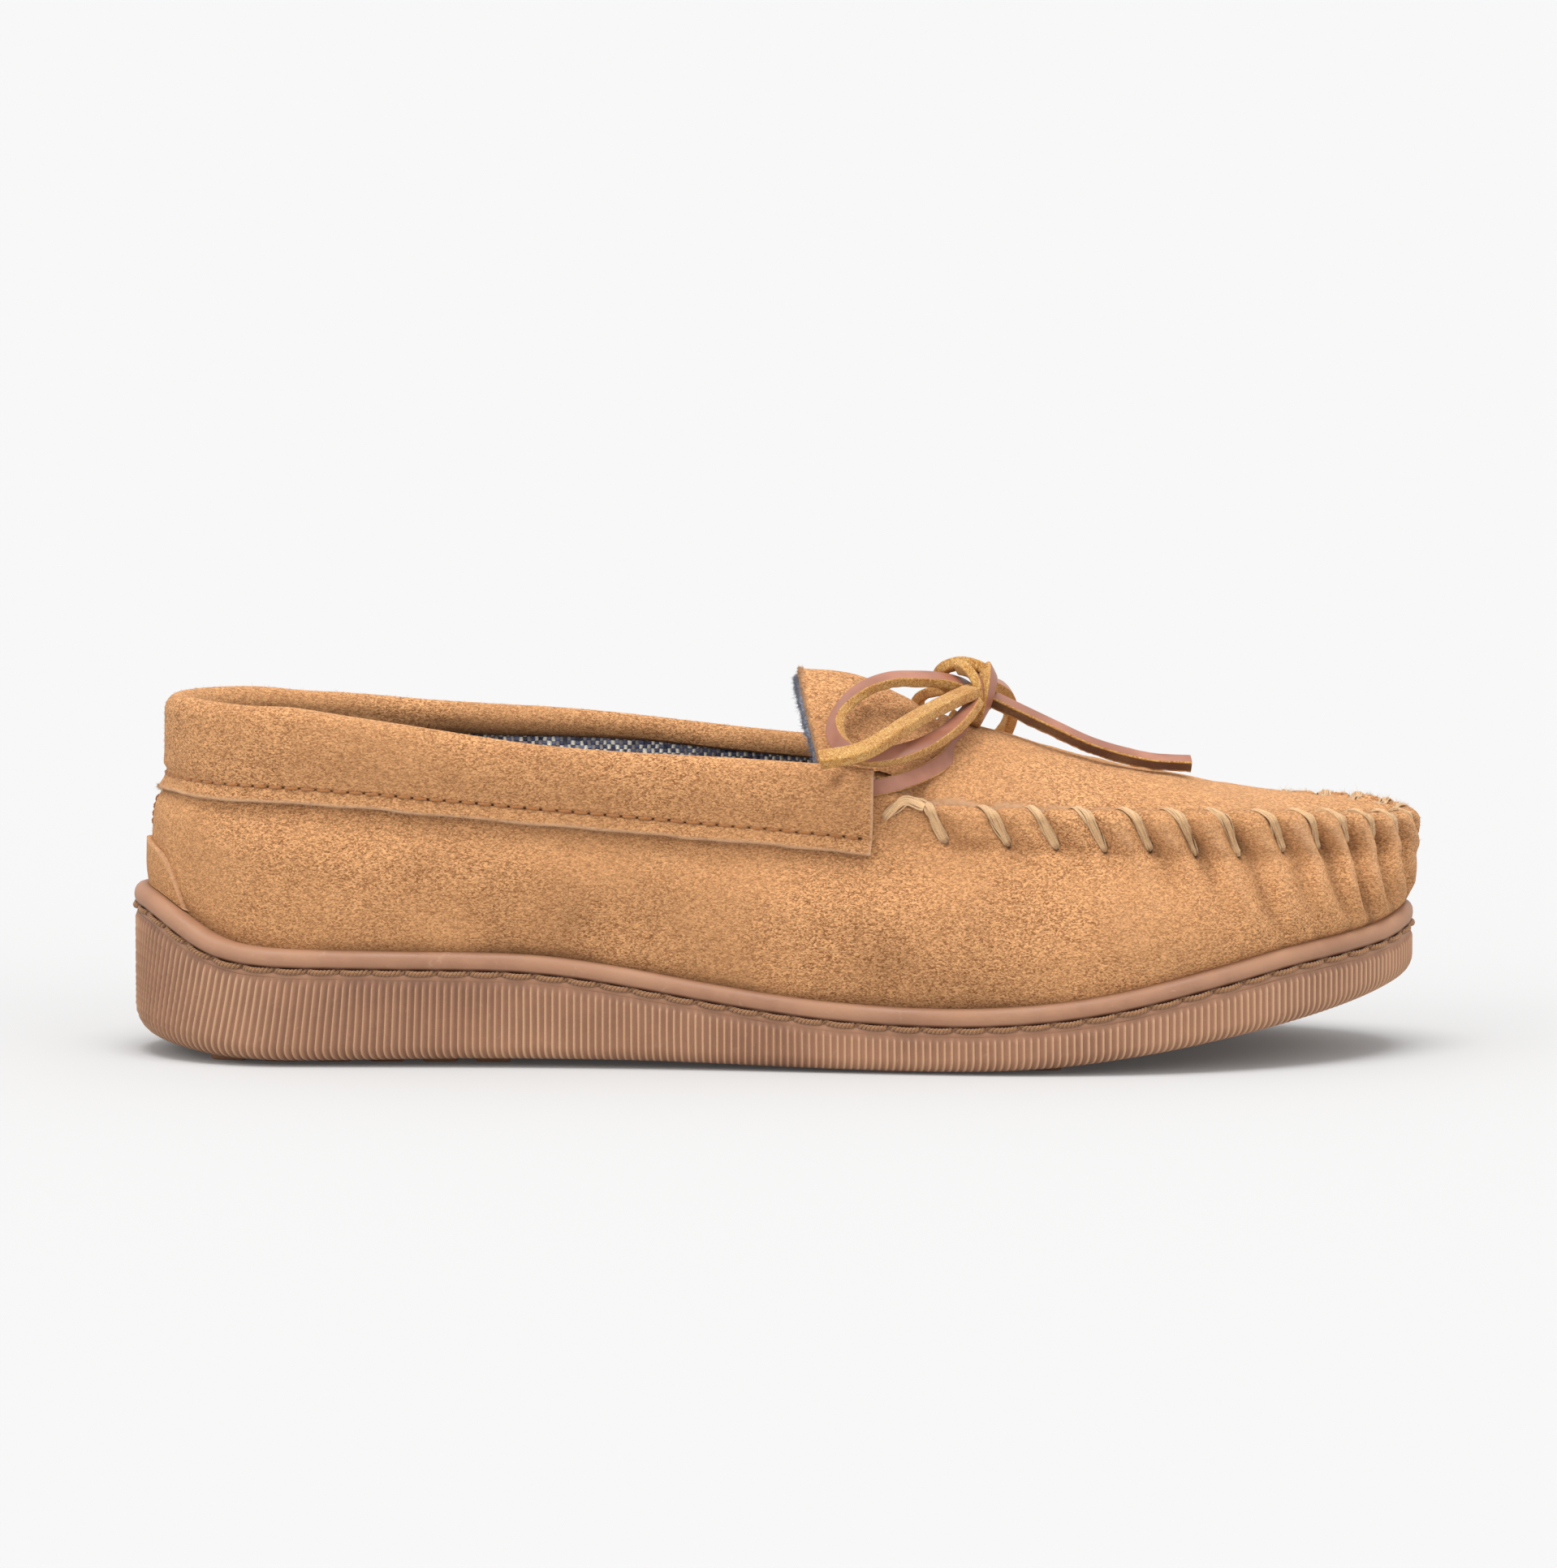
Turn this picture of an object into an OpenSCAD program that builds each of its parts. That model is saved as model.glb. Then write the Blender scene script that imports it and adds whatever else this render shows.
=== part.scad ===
// Moccasin slipper, right foot: suede upper on a ribbed rubber cup sole, tied with a leather thong.
// The heel points along -X, the toe along +X, the outer (lateral) side along -Y, and +Z is up.
// The origin is on the ground, midway along the sole.

/* [Size] */
// Length of the sole from heel to toe
sole_length = 291; // [280:1:302]
// Width of the sole across the ball of the foot
ball_width = 100; // [94:1:106]
// Height of the collar's rim at the heel
heel_height = 82; // [78:1:86]

/* [Upper] */
// Thickness of the suede
suede = 1.6; // [1.3:0.1:1.8]
// Thickness of the cloth lining
cloth = 1; // [0.8:0.1:1.2]
// Thickness of the heel counter
counter = 1.2; // [0.8:0.1:1.3]
// Depth of the collar's outer face at the heel
collar_depth = 21.5; // [18:0.5:24]
// Depth of the heel tab's top below the rim
tab_drop = 32; // [28:1:36]

/* [Sole] */
// Thickness of the rubber cup's lip
lip = 4; // [3.5:0.1:4.5]
// Height of the welt bead above the stitch groove
bead = 4.8; // [4:0.1:5.5]
// Width of one tread bar
bar_w = 8; // [6:0.5:9]
// Distance from one tread bar to the next
bar_pitch = 12; // [11:0.5:14]

/* [Lace] */
// Width of the leather thong
lace_w = 3.2; // [2.8:0.1:3.4]
// Thickness of the leather thong
lace_t = 2; // [1.6:0.1:2.1]

/* [Stitches] */
// Distance from one sole stitch to the next
sole_pitch = 7.4; // [6:0.2:9]
// Distance from one collar stitch to the next
collar_pitch = 3.7; // [3:0.1:5]
// Number of whip stitches round the plug
whip_count = 25; // [19:2:27]

/* [Hidden] */
$fn = 24;

// Size factors against the sample size that the curves below describe.
kx = sole_length / 291;
ky = ball_width / 100;
kz = heel_height / 82;
heel_x = -146 * kx;
toe_x = heel_x + sole_length;
fit_gap = 0.12;          // free space between two layers
around = 96;             // stations round the shoe
step = 0.002;            // share of the way round, for slopes
bottom_inset = 9;        // the sole's flat underside starts this far in from its edge
tuck = 6;                // the wall's margin inside the cup's lip
collar_end = 0.561;      // the collar stops at this share of the length
tongue_root = 36;        // the tongue hinges here
tongue_tip = 5.6;        // the tongue's free end
tongue_half = 25.4;      // half the tongue's width
hinge_gap = 1.2;         // clearance at the tongue's open hinge line
fold = 6.2;              // rise of the collar's rim above the wall's top edge
rim_rise = 2.9;          // straight part of that rise
cuff = 1.4;              // thickness of the collar's suede
cuff_gap = 0.4;          // free space between the collar and the wall
toe_wall_lead = 1.2;     // the suede stands this far in front of the sole's toe

// Curves along the length: each knot is [share of the length from heel to toe, value in mm].
centre_line = [[0, 0], [0.3, -2], [0.45, -2.4], [0.6, -1.5], [0.72, -0.5], [0.85, 1.5], [1, 5]];
sole_half = [[0, 33], [0.12, 33.8], [0.3, 34], [0.45, 38], [0.6, 46.5], [0.7, 50], [0.8, 49.5], [1, 46]];
top_half = [[0, 27], [0.12, 27.3], [0.3, 29.3], [0.5, 31.8], [0.58, 33.2], [0.65, 36.5], [0.74, 38],
            [0.85, 35.5], [1, 28]];
sole_bottom = [[0, 3], [0.07, 1.2], [0.27, 1.8], [0.4, 1.7], [0.53, 0.8], [0.65, 0.6], [0.72, 1.6],
               [0.78, 3.7], [0.84, 6.5], [0.907, 10], [0.96, 13.3], [1, 16.4]];
bead_top = [[0, 38.4], [0.012, 37.2], [0.06, 29.3], [0.1, 27], [0.2, 26.3], [0.3, 25.8], [0.36, 24],
            [0.47, 18.7], [0.54, 16.2], [0.63, 15], [0.7, 15.9], [0.76, 18.2], [0.84, 23.3], [0.9, 27.3],
            [0.96, 30], [0.985, 31.6], [1, 33.6]];
rim_height = [[0, 81.8], [0.09, 80.6], [0.15, 78.6], [0.21, 76.4], [0.27, 74.5], [0.34, 72.8], [0.47, 70],
              [0.53, 68.4], [0.561, 67.5]];
seam_height = [[0.561, 61.7], [0.61, 59.8], [0.66, 59.2], [0.78, 58.2], [0.907, 56.6], [1, 54.8]];
footbed_z = [[0, 20], [0.2, 18], [0.45, 15], [0.65, 11.5], [0.75, 12.5], [0.85, 17.5], [1, 27]];
// Height of the plug's and tongue's ridge line against x.
plug_ridge = [[28, 80.7], [37.6, 76.2], [45, 73.8], [52, 72.1], [66.9, 67.7], [78.7, 64.8], [90.5, 62.7],
              [100, 61], [110, 59.6], [122, 58], [137, 56.6], [147, 55]];
tongue_ridge = [[5, 87.2], [13, 86.2], [20, 84.7], [28, 80.9], [36, 77]];

function lerp(a, b, f) = a + (b - a) * f;
function clamp(x, lo, hi) = max(lo, min(hi, x));
function smooth(x, lo, hi) = let (f = clamp((x - lo) / (hi - lo), 0, 1)) f * f * (3 - 2 * f);
function unit(v) = v / norm(v);

// A smooth curve through knots [x, value], where a value is a number or a point.
function slope(k, i) =
    let (a = max(i - 1, 0), b = min(i + 1, len(k) - 1)) (k[b][1] - k[a][1]) / (k[b][0] - k[a][0]);
function curve(k, x, i = 0) =
    i < len(k) - 2 && x > k[i + 1][0]
    ? curve(k, x, i + 1)
    : let (
        h = k[i + 1][0] - k[i][0],
        f = clamp((x - k[i][0]) / h, 0, 1),
        f2 = f * f,
        f3 = f2 * f
      )
      (2 * f3 - 3 * f2 + 1) * k[i][1] + (f3 - 2 * f2 + f) * h * slope(k, i)
      + (3 * f2 - 2 * f3) * k[i + 1][1] + (f3 - f2) * h * slope(k, i + 1);

// Places round the shoe: 0 at the heel, 0.5 at the toe, the lateral side first.
function wrap(a) = a - floor(a);
function along(a) = let (w = wrap(a), u = w < 0.5 ? 2 * w : 2 - 2 * w) (1 - cos(180 * u)) / 2;
function side(a) = wrap(a) < 0.5 ? -1 : 1;
function place(t) = acos(1 - 2 * t) / 360;
function share_at(x) = (x / kx + 146) / 291;
function rounding(t, heel, toe) =
    sqrt(max(0, 1 - pow(max(0, 1 - t / heel), 2))) * sqrt(max(0, 1 - pow(max(0, 1 - (1 - t) / toe), 2)));

// The sole's outline, moved inward by inset.
function outline(a, inset = 0) =
    let (t = along(a))
    [
        lerp(heel_x + inset, toe_x - inset, t),
        ky * curve(centre_line, t) + side(a) * (ky * curve(sole_half, t) - inset) * rounding(t, 0.12, 0.24)
    ];

// The upper's top edge in plan.
function top_edge(a) =
    let (t = along(a))
    [
        lerp(heel_x + 8.2, toe_x + toe_wall_lead, t),
        ky * (curve(centre_line, t) + side(a) * curve(top_half, t) * rounding(t, 0.12, 0.22))
    ];

// Heights on the wall: v runs from -1 at the foot, tucked inside the cup, to 0 at the bead's top and 1 at the wall's top.
levels = [-1, 0, 0.12, 0.26, 0.4, 0.52, 0.62, 0.72, 0.86, 1];
lips_in = lip + 0.25;
// The wall's share of its way from the sole's outline to the top edge.
function lean(t, v) =
    let (
        rear = curve([[0, 0], [0.4, 0.04], [0.52, 0.22], [0.62, 0.75], [0.72, 0.93], [1, 1]], v),
        front = curve([[0, 0], [0.26, 0.05], [0.52, 0.4], [0.72, 0.86], [0.86, 1], [1, 1]], v)
    )
    lerp(rear, front, smooth(t, 0.5, 0.68));
function inset(t, v) =
    v <= 0 ? lips_in : lerp(
        curve([[0, lips_in], [0.26, 4], [1, 4]], v),
        curve([[0, lips_in], [0.12, 1.6], [0.26, 0.9], [1, 0.4]], v),
        smooth(t, 0.02, 0.2)
    );
function wall_top(t) =
    kz * (t < collar_end ? curve(rim_height, t) - fold : curve(seam_height, t));
function wall_foot(t) = kz * curve(bead_top, t);
function wall_z(t, v) = v < 0 ? wall_foot(t) + v * tuck : lerp(wall_foot(t), wall_top(t), v);
function wall_plan(a, v) =
    let (t = along(a), low = outline(a, inset(t, v))) low + (top_edge(a) - low) * lean(t, v);
function inward(a, v) =
    let (d = wall_plan(a + step, v) - wall_plan(a - step, v)) unit([-d.y, d.x]);
// A point of the upper: share a round the shoe, height v, depth inside its outer face.
function wall_point(a, v, depth = 0, rise = 0) =
    let (p = wall_plan(a, v) + depth * inward(a, v)) [p.x, p.y, wall_z(along(a), v) + rise];
function share_of_height(t, z) = (z - wall_foot(t)) / (wall_top(t) - wall_foot(t));
// Depth of the lining's outer face: it steps in over the heel counter.
function lining_depth(t) = suede + fit_gap + (counter + fit_gap) * (1 - smooth(t, 0.2, 0.3));

// Joins rings of equal length into a solid. An open row gets ladder caps, which pair point i with point n-1-i.
module skin(rings, closed = false) {
    n = len(rings[0]);
    m = len(rings);
    ladder = [for (i = [0 : n / 2 - 2]) each [[i, n - 2 - i, i + 1], [i, n - 1 - i, n - 2 - i]]];
    // The two halves of a ring share their diagonals, so that the faces of neighbouring layers run parallel.
    sides = [
        for (j = [0 : m - (closed ? 1 : 2)], i = [0 : n - 1])
            let (k = (i + 1) % n, l = (j + 1) % m, p = j * n + i, q = j * n + k, r = l * n + k, s = l * n + i)
            each (i < n / 2 ? [[p, q, r], [p, r, s]] : [[p, q, s], [q, r, s]])
    ];
    last = (m - 1) * n;
    caps = closed ? [] : concat(
        [for (f = ladder) [f[0], f[1], f[2]]],
        [for (f = ladder) [last + f[2], last + f[1], last + f[0]]]
    );
    polyhedron(points = [for (r = rings) each r], faces = concat(sides, caps));
}

// Places round the shoe, half a station off the heel and toe tips, so that ring points pair up across it.
function stations() = [for (i = [0 : around - 1]) (i + 0.5) / around];
// The stations of the heel end, as far as the given share on either side.
function heel_stations(reach) = let (n = floor(reach * around - 0.5)) [for (i = [-n - 1 : n]) (i + 0.5) / around];
function ring(in, z) = [for (a = stations()) let (p = outline(a, in)) [p.x, p.y, z(along(a))]];

// A strap of the given width and thickness along knots [i, point]; flat is the direction of its broad face.
module strap(knots, width, thick, flat, parts = 4) {
    last = len(knots) - 1;
    spots = [for (i = [0 : last * parts]) curve(knots, i / parts)];
    count = len(spots);
    skin([
        for (i = [0 : count - 1])
            let (
                t = unit(spots[min(i + 1, count - 1)] - spots[max(i - 1, 0)]),
                across = unit(cross(t, flat)) * width / 2,
                up = unit(cross(across, t)) * thick / 2
            )
            [spots[i] + across + up, spots[i] - across + up, spots[i] - across - up, spots[i] + across - up]
    ]);
}
function knots(points) = [for (i = [0 : len(points) - 1]) [i, fitted(points[i])]];
function fitted(p) = [p.x * kx, p.y * ky, p.z * kz];

// One straight stitch of thread from p to q.
module stitch(p, q, r) {
    d = q - p;
    translate(p)
        rotate([0, acos(d.z / norm(d)), atan2(d.y, d.x)])
            cylinder(h = norm(d), r = r);
}

function groove_z(t) = kz * curve(bead_top, t) - bead;
function bottom_z(t) = kz * curve(sole_bottom, t);
function floor_z(t) = max(bottom_z(t) + 5, kz * curve(footbed_z, t) - 10);

module outsole() {
    // The rings run from the floor up the inside of the lip, over the bead and down the outer face to the underside.
    rings = [
        ring(lip, function (t) floor_z(t)),
        ring(lip, function (t) groove_z(t) + bead * 0.8),
        ring(lip / 2, function (t) groove_z(t) + bead),
        ring(0.7, function (t) groove_z(t) + bead * 0.88),
        ring(0, function (t) groove_z(t) + bead * 0.55),
        ring(0.1, function (t) groove_z(t) + 0.8),
        ring(1, function (t) groove_z(t)),
        ring(0, function (t) groove_z(t) - 0.7),
        ring(0, function (t) lerp(bottom_z(t), groove_z(t), 0.75)),
        ring(0.4, function (t) bottom_z(t) + 5),
        ring(2, function (t) bottom_z(t) + 2),
        ring(5, function (t) bottom_z(t) + 0.4),
        ring(bottom_inset, function (t) bottom_z(t))
    ];
    color("rosybrown") union() {
        skin(rings);
        tread_bars();
    }
}

// Flat-bottomed bars across the heel and the ball, cut to the underside's outline.
module tread_bars() {
    heel_bars = [for (i = [0 : 5]) heel_x + 22 + i * bar_pitch];
    ball_bars = [for (i = [0 : 5]) i * bar_pitch];
    for (x = concat(heel_bars, ball_bars))
        linear_extrude(3)
            intersection() {
                polygon([for (a = stations()) outline(a, bottom_inset + 1)]);
                translate([x - bar_w / 2, -ball_width / 2])
                    square([bar_w, ball_width]);
            }
}

// A plate inside the cup, between two heights, inset from the sole's edge.
module plate(in, low, high) {
    skin([ring(in, low), ring(in, high)]);
}

inside_lip = lip + suede + 2 * fit_gap + 0.2;
module midsole_filler() {
    color("gainsboro")
        plate(inside_lip, function (t) floor_z(t) + fit_gap, function (t) board_z(t) - fit_gap);
}
function board_z(t) = max(floor_z(t) + 1.2, kz * curve(footbed_z, t) - 7);
module insole_board() {
    color("burlywood")
        plate(inside_lip, function (t) board_z(t), function (t) board_z(t) + 1.5);
}
function foam_z(t) = board_z(t) + 1.5 + fit_gap;
module foam_footbed() {
    color("lightyellow")
        plate(inside_lip + 2, function (t) foam_z(t), function (t) foam_z(t) + 4);
}
module sock_liner() {
    color("slategray")
        plate(inside_lip + 2, function (t) foam_z(t) + 4 + fit_gap, function (t) foam_z(t) + 4 + fit_gap + cloth);
}

// A closed band of the upper between two depths, at the given heights.
module upper_band(shares, outer, inner) {
    skin([
        for (a = stations())
            let (t = along(a), back = [for (i = [len(shares) - 1 : -1 : 0]) shares[i]])
            concat([for (v = shares) wall_point(a, v, outer(t))], [for (v = back) wall_point(a, v, inner(t))])
    ], closed = true);
}

function some(list, from, to) = [for (i = [from : to]) list[i]];
module side_wall() {
    color("peru")
        upper_band(levels, function (t) 0, function (t) suede);
}
module quarter_lining() {
    color("slategray")
        upper_band(concat(some(levels, 1, 7), [0.82]), function (t) lining_depth(t), function (t) lining_depth(t) + cloth);
}
module heel_counter() {
    shares = some(levels, 1, 6);
    back = [for (k = [5 : -1 : 0]) shares[k]];
    color("tan")
        skin([
            for (a = heel_stations(place(0.19)))
                concat(
                    [for (v = shares) wall_point(a, v, suede + fit_gap)],
                    [for (v = back) wall_point(a, v, suede + fit_gap + counter)]
                )
        ]);
}
module heel_tab() {
    reach = place(0.045);
    top_share = share_of_height(0, heel_height - tab_drop);
    color("peru") skin([
        for (i = [-10 : 10])
            let (
                f = i / 10.3,
                a = f * reach,
                low = share_of_height(along(a), wall_foot(along(a)) + 0.8),
                high = lerp(low, top_share, sqrt(1 - pow(abs(f), 2.6))),
                shares = [for (k = [0 : 4]) lerp(low, high, k / 4)],
                back = [for (k = [4 : -1 : 0]) shares[k]]
            )
            concat([for (v = shares) wall_point(a, v, -1.4)], [for (v = back) wall_point(a, v, -0.3)])
    ]);
}

// The plug's section at x is a low arch between its two seams.
plug_inset = suede + fit_gap;
function plug_row(a, drop) =
    let (
        p = wall_point(a, 1, plug_inset),
        q = wall_point(1 - a, 1, plug_inset),
        low = p.z - 0.7,
        crown = max(0, kz * curve(plug_ridge, p.x / kx) - low)
    )
    [for (f = [0 : 0.1 : 1.001]) [lerp(p.x, q.x, f), lerp(p.y, q.y, f), low + crown * 4 * f * (1 - f) - drop]];
module sheet(rows_high, rows_low) {
    skin([
        for (i = [0 : len(rows_high) - 1])
            let (n = len(rows_low[i]) - 1)
            concat(rows_high[i], [for (k = [n : -1 : 0]) rows_low[i][k]])
    ]);
}
plug_start = place(share_at((tongue_root + hinge_gap / 2) * kx));
plug_places = [for (i = [0 : 20]) lerp(plug_start, 0.4965, i / 20)];
module plug() {
    color("sandybrown")
        sheet([for (a = plug_places) plug_row(a, 0)], [for (a = plug_places) plug_row(a, suede)]);
}
module plug_lining() {
    under = suede + fit_gap;
    color("slategray")
        sheet([for (a = plug_places) plug_row(a, under)], [for (a = plug_places) plug_row(a, under + cloth)]);
}

function tongue_row(x, drop, half) =
    let (
        high = kz * curve(tongue_ridge, x),
        fall = kz * lerp(19.5, 11, (x - tongue_tip) / (tongue_root - tongue_tip)),
        corner = 3.5 * smooth(x, tongue_tip + 5, tongue_tip)
    )
    [
        for (f = [-1 : 0.2 : 1.001])
            [(x + corner * pow(abs(f), 4)) * kx, f * half * ky, high - fall * f * f * pow(half / tongue_half, 2) - drop]
    ];
tongue_xs = [for (i = [0 : 7]) lerp(tongue_tip, tongue_root - hinge_gap / 2, i / 7)];
module tongue() {
    color("sandybrown")
        sheet([for (x = tongue_xs) tongue_row(x, 0, tongue_half)],
              [for (x = tongue_xs) tongue_row(x, suede, tongue_half)]);
}
module tongue_lining() {
    under = suede + fit_gap;
    color("slategray")
        sheet([for (x = tongue_xs) tongue_row(x, under, tongue_half)],
              [for (x = tongue_xs) tongue_row(x, under + cloth, tongue_half)]);
}

// The collar: a long outer leg, a rolled rim that holds the lace, and a short inner leg.
function collar_foot(t) = kz * (curve(rim_height, t) - lerp(collar_depth, 19.3, smooth(t, 0, 0.3)));
function collar_section(a) =
    let (
        t = along(a),
        legs = [share_of_height(t, collar_foot(t)), 0.72, 0.86, 1],
        inner = lining_depth(t) + cloth + 2 * fit_gap,
        arc = [for (k = [0 : 30 : 180]) k]
    )
    concat(
        [for (v = legs) wall_point(a, v, -cuff_gap - cuff)],
        [for (k = arc)
            wall_point(a, 1, lerp(-cuff_gap - cuff, inner + cuff, (1 - cos(k)) / 2), lerp(rim_rise, fold, sin(k)))],
        [wall_point(a, 0.76, inner + cuff), wall_point(a, 0.76, inner)],
        [for (i = [6 : -1 : 0])
            wall_point(a, 1, lerp(-cuff_gap, inner, (1 - cos(arc[i])) / 2), lerp(rim_rise, fold - cuff, sin(arc[i])))],
        [for (k = [3 : -1 : 0]) wall_point(a, legs[k], -cuff_gap)]
    );
collar_reach = place(collar_end);
collar_places = concat([-collar_reach], heel_stations(collar_reach), [collar_reach]);
module collar() {
    color("peru")
        skin([for (a = collar_places) collar_section(a)]);
}

// The thong: from the knot down to one collar end, round inside the rim and back up on the other side.
function lace_run(a) = wall_point(a, 1, (lining_depth(along(a)) + cloth - fit_gap) / 2, 1.95);
lateral_feed = [[42.6, -5.2, 78.2], [41, -11, 76.9], [40.6, -17.5, 74.4], [39.8, -24.5, 71], [36.6, -30.5, 67.8],
                [28.5, -33.6, 62.9]];
medial_feed = [[42.6, 2.5, 78.2], [42.3, 9, 77], [42, 16, 74.4], [40.6, 23.5, 70.6], [36.5, 29.5, 67],
               [28.5, 30.4, 62.9]];
module collar_lace() {
    bend = [for (i = [0 : 5]) lateral_feed[i]];
    back = [for (i = [5 : -1 : 0]) medial_feed[i]];
    inside = heel_stations(collar_reach - 0.004);
    run = [for (i = [len(inside) - 1 : -1 : 0]) lace_run(inside[i])];
    points = concat([for (p = bend) fitted(p)], run, [for (p = back) fitted(p)]);
    path = [for (i = [0 : len(points) - 1]) [i, points[i]]];
    color("saddlebrown")
        upright_strap(path);
}
// A strap whose broad face looks up on the plug and outward inside the collar.
module upright_strap(path) {
    feeds = len(lateral_feed) - 1;
    last = len(path) - 1;
    turns = concat([for (i = [0 : 0.5 : feeds]) i], [for (i = [feeds + 1 : last - feeds - 1]) i],
                   [for (i = [last - feeds : 0.5 : last]) i]);
    spots = [for (i = turns) curve(path, i)];
    count = len(spots);
    skin([
        for (i = [0 : count - 1])
            let (
                t = unit(spots[min(i + 1, count - 1)] - spots[max(i - 1, 0)]),
                tucked = smooth(spots[i].x, 34 * kx, 22 * kx),
                out = unit(cross([t.x, t.y, 0], [0, 0, 1])),
                flat = unit(lerp([0.1, sign(spots[i].y) * 0.35, 1], -out * 1.2, tucked)),
                across = unit(cross(t, flat)) * lace_w / 2,
                up = unit(cross(across, t)) * lace_t / 2
            )
            [spots[i] + across + up, spots[i] - across + up, spots[i] - across - up, spots[i] + across - up]
    ]);
}

// The knot: two bands wrapped round the crossing of the thongs.
knot_centre = [46.2, -2, 81.4];
module band(centre, radii, turn, tilt) {
    spots = [for (i = [0 : 15]) i * 22.5];
    color("goldenrod")
        translate(fitted(centre)) rotate(turn)
            skin([
                for (d = spots)
                    [
                        for (q = [[1, 1], [-1, 1], [-1, -1], [1, -1]])
                            let (r = radii + [1, 1] * q[0] * lace_t / 2)
                            [q[1] * lace_w / 2 + tilt * sin(d), r[0] * cos(d), r[1] * sin(d)]
                    ]
            ], closed = true);
}
module lace_knot() {
    band(knot_centre, [4.6, 5.6], [0, 0, 0], 0);
    band(knot_centre + [-4.7, 1.5, 2.6], [3.6, 3.4], [0, 0, 62], 0.5);
}

// The loops' broad faces look up and a little outward.
loop_flat = [0, -0.5, 0.87];
module lateral_loop() {
    color("saddlebrown")
        strap(knots([
            [42.2, -4.4, 84.6], [36, -8, 86.4], [27, -12.5, 86.8], [18.4, -19, 84.2], [13, -26.5, 79.2],
            [12.3, -32.5, 74.2], [16.4, -36.2, 70.6], [23.8, -36.2, 70.7], [32, -32, 73], [38.3, -24, 76],
            [42.4, -15, 79.4], [43, -9, 81]
        ]), lace_w, lace_t, loop_flat);
}
module medial_loop() {
    color("saddlebrown")
        strap(knots([
            [49.8, 2.4, 83], [53.2, 8, 81], [55.4, 16, 77], [53.2, 25, 73], [45, 31.5, 71.3], [36, 31.5, 74],
            [30, 25, 78.6], [32, 16, 82.3], [37.5, 8, 83.4]
        ]), lace_w, lace_t, [0, -loop_flat.y, loop_flat.z]);
}
module lateral_tail() {
    color("goldenrod")
        strap(knots([
            [43.2, -10.4, 84.2], [37.8, -19.5, 82.6], [30.4, -29, 79.8], [23, -36, 76.2], [16.6, -39.8, 73],
            [9.8, -40.6, 71.2]
        ]), lace_w, lace_t, [0.2, -0.45, 0.87]);
}
module toe_tail() {
    color("saddlebrown")
        strap(knots([
            [50, -3, 80.4], [56.4, -4.2, 77.4], [63.5, -5, 73.8], [71, -5, 70.6], [78.4, -4.8, 68.2],
            [86, -4, 66.6], [94.2, -3, 66]
        ]), lace_w, lace_t, [0.2, -0.35, 0.9]);
}

// A row of stitches: consecutive points of a path, each stitch filling the given share of its pitch.
module stitch_row(spots, r, fill) {
    for (i = [0 : len(spots) - 2])
        let (p = spots[i], q = spots[i + 1])
            stitch(p, lerp(p, q, fill), r);
}
// The share found at distance s in a table of [share, distance].
function reach_to(table, s, i = 1) =
    i >= len(table) - 1 || table[i][1] >= s
    ? lerp(table[i - 1][0], table[i][0], (s - table[i - 1][1]) / (table[i][1] - table[i - 1][1]))
    : reach_to(table, s, i + 1);
// Turns a path of [share, point] into a table of [share, distance].
function lengths(path, i = 0, sum = 0) =
    i >= len(path) ? [] : concat(
        [[path[i][0], sum + (i > 0 ? norm(path[i][1] - path[i - 1][1]) : 0)]],
        lengths(path, i + 1, sum + (i > 0 ? norm(path[i][1] - path[i - 1][1]) : 0))
    );
// Shares a at equal distances along the path that spot(a) draws from one share to another.
function evenly(from, to, pitch, spot) =
    let (
        table = lengths([for (i = [0 : 160]) let (a = lerp(from, to, i / 160)) [a, spot(a)]]),
        total = table[160][1],
        count = round(total / pitch)
    )
    [for (i = [0 : count]) reach_to(table, i * total / count)];

module sole_stitching() {
    spot = function (a) let (p = outline(a, 0.45)) [p.x, p.y, groove_z(along(a))];
    color("burlywood")
        stitch_row([for (a = evenly(0, 1, sole_pitch, spot)) spot(a)], 0.5, 0.86);
}
module collar_stitching() {
    spot = function (a)
        let (t = along(a)) wall_point(a, share_of_height(t, collar_foot(t) + 2.8), -cuff_gap - cuff);
    color("goldenrod")
        stitch_row([for (a = evenly(-collar_reach + 0.003, collar_reach - 0.003, collar_pitch, spot)) spot(a)], 0.3, 0.74);
}
module back_seam_stitching() {
    low = share_of_height(0, heel_height - tab_drop + 1);
    high = share_of_height(0, collar_foot(0) - 1);
    color("burlywood")
        stitch_row([for (k = [0 : 4]) wall_point(0, lerp(low, high, k / 4), -0.1)], 0.3, 0.7);
}
// One whip stitch: out of the wall, over the seam and into the plug.
module whip_stitch(a) {
    lean_back = 0.0035 * side(a);
    inner = wall_point(a, 1, 5, -1.6);
    arch = kz * curve(plug_ridge, inner.x / kx) - inner.z;
    ends_z = inner.z + max(0, arch) * 0.28 + 0.8;
    strap([
        [0, wall_point(a - lean_back, 0.84, -0.3)],
        [1, wall_point(a - lean_back / 2, 0.92, -0.9)],
        [2, wall_point(a, 1, -0.4, 0.5)],
        [3, wall_point(a, 1, 1.4, 1.1)],
        [4, [inner.x, inner.y, ends_z]]
    ], 2.1, 1.1, wall_point(a, 0.9, -10, 12) - wall_point(a, 0.9, 0, 0), 2);
}
module whip_stitching() {
    places = evenly(place(0.6), 1 - place(0.6), 1, function (a) let (p = top_edge(a)) [p.x, p.y, 0]);
    color("tan")
        for (i = [0 : whip_count - 1])
            whip_stitch(places[round((i + 0.5) * (len(places) - 1) / whip_count)]);
}

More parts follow.
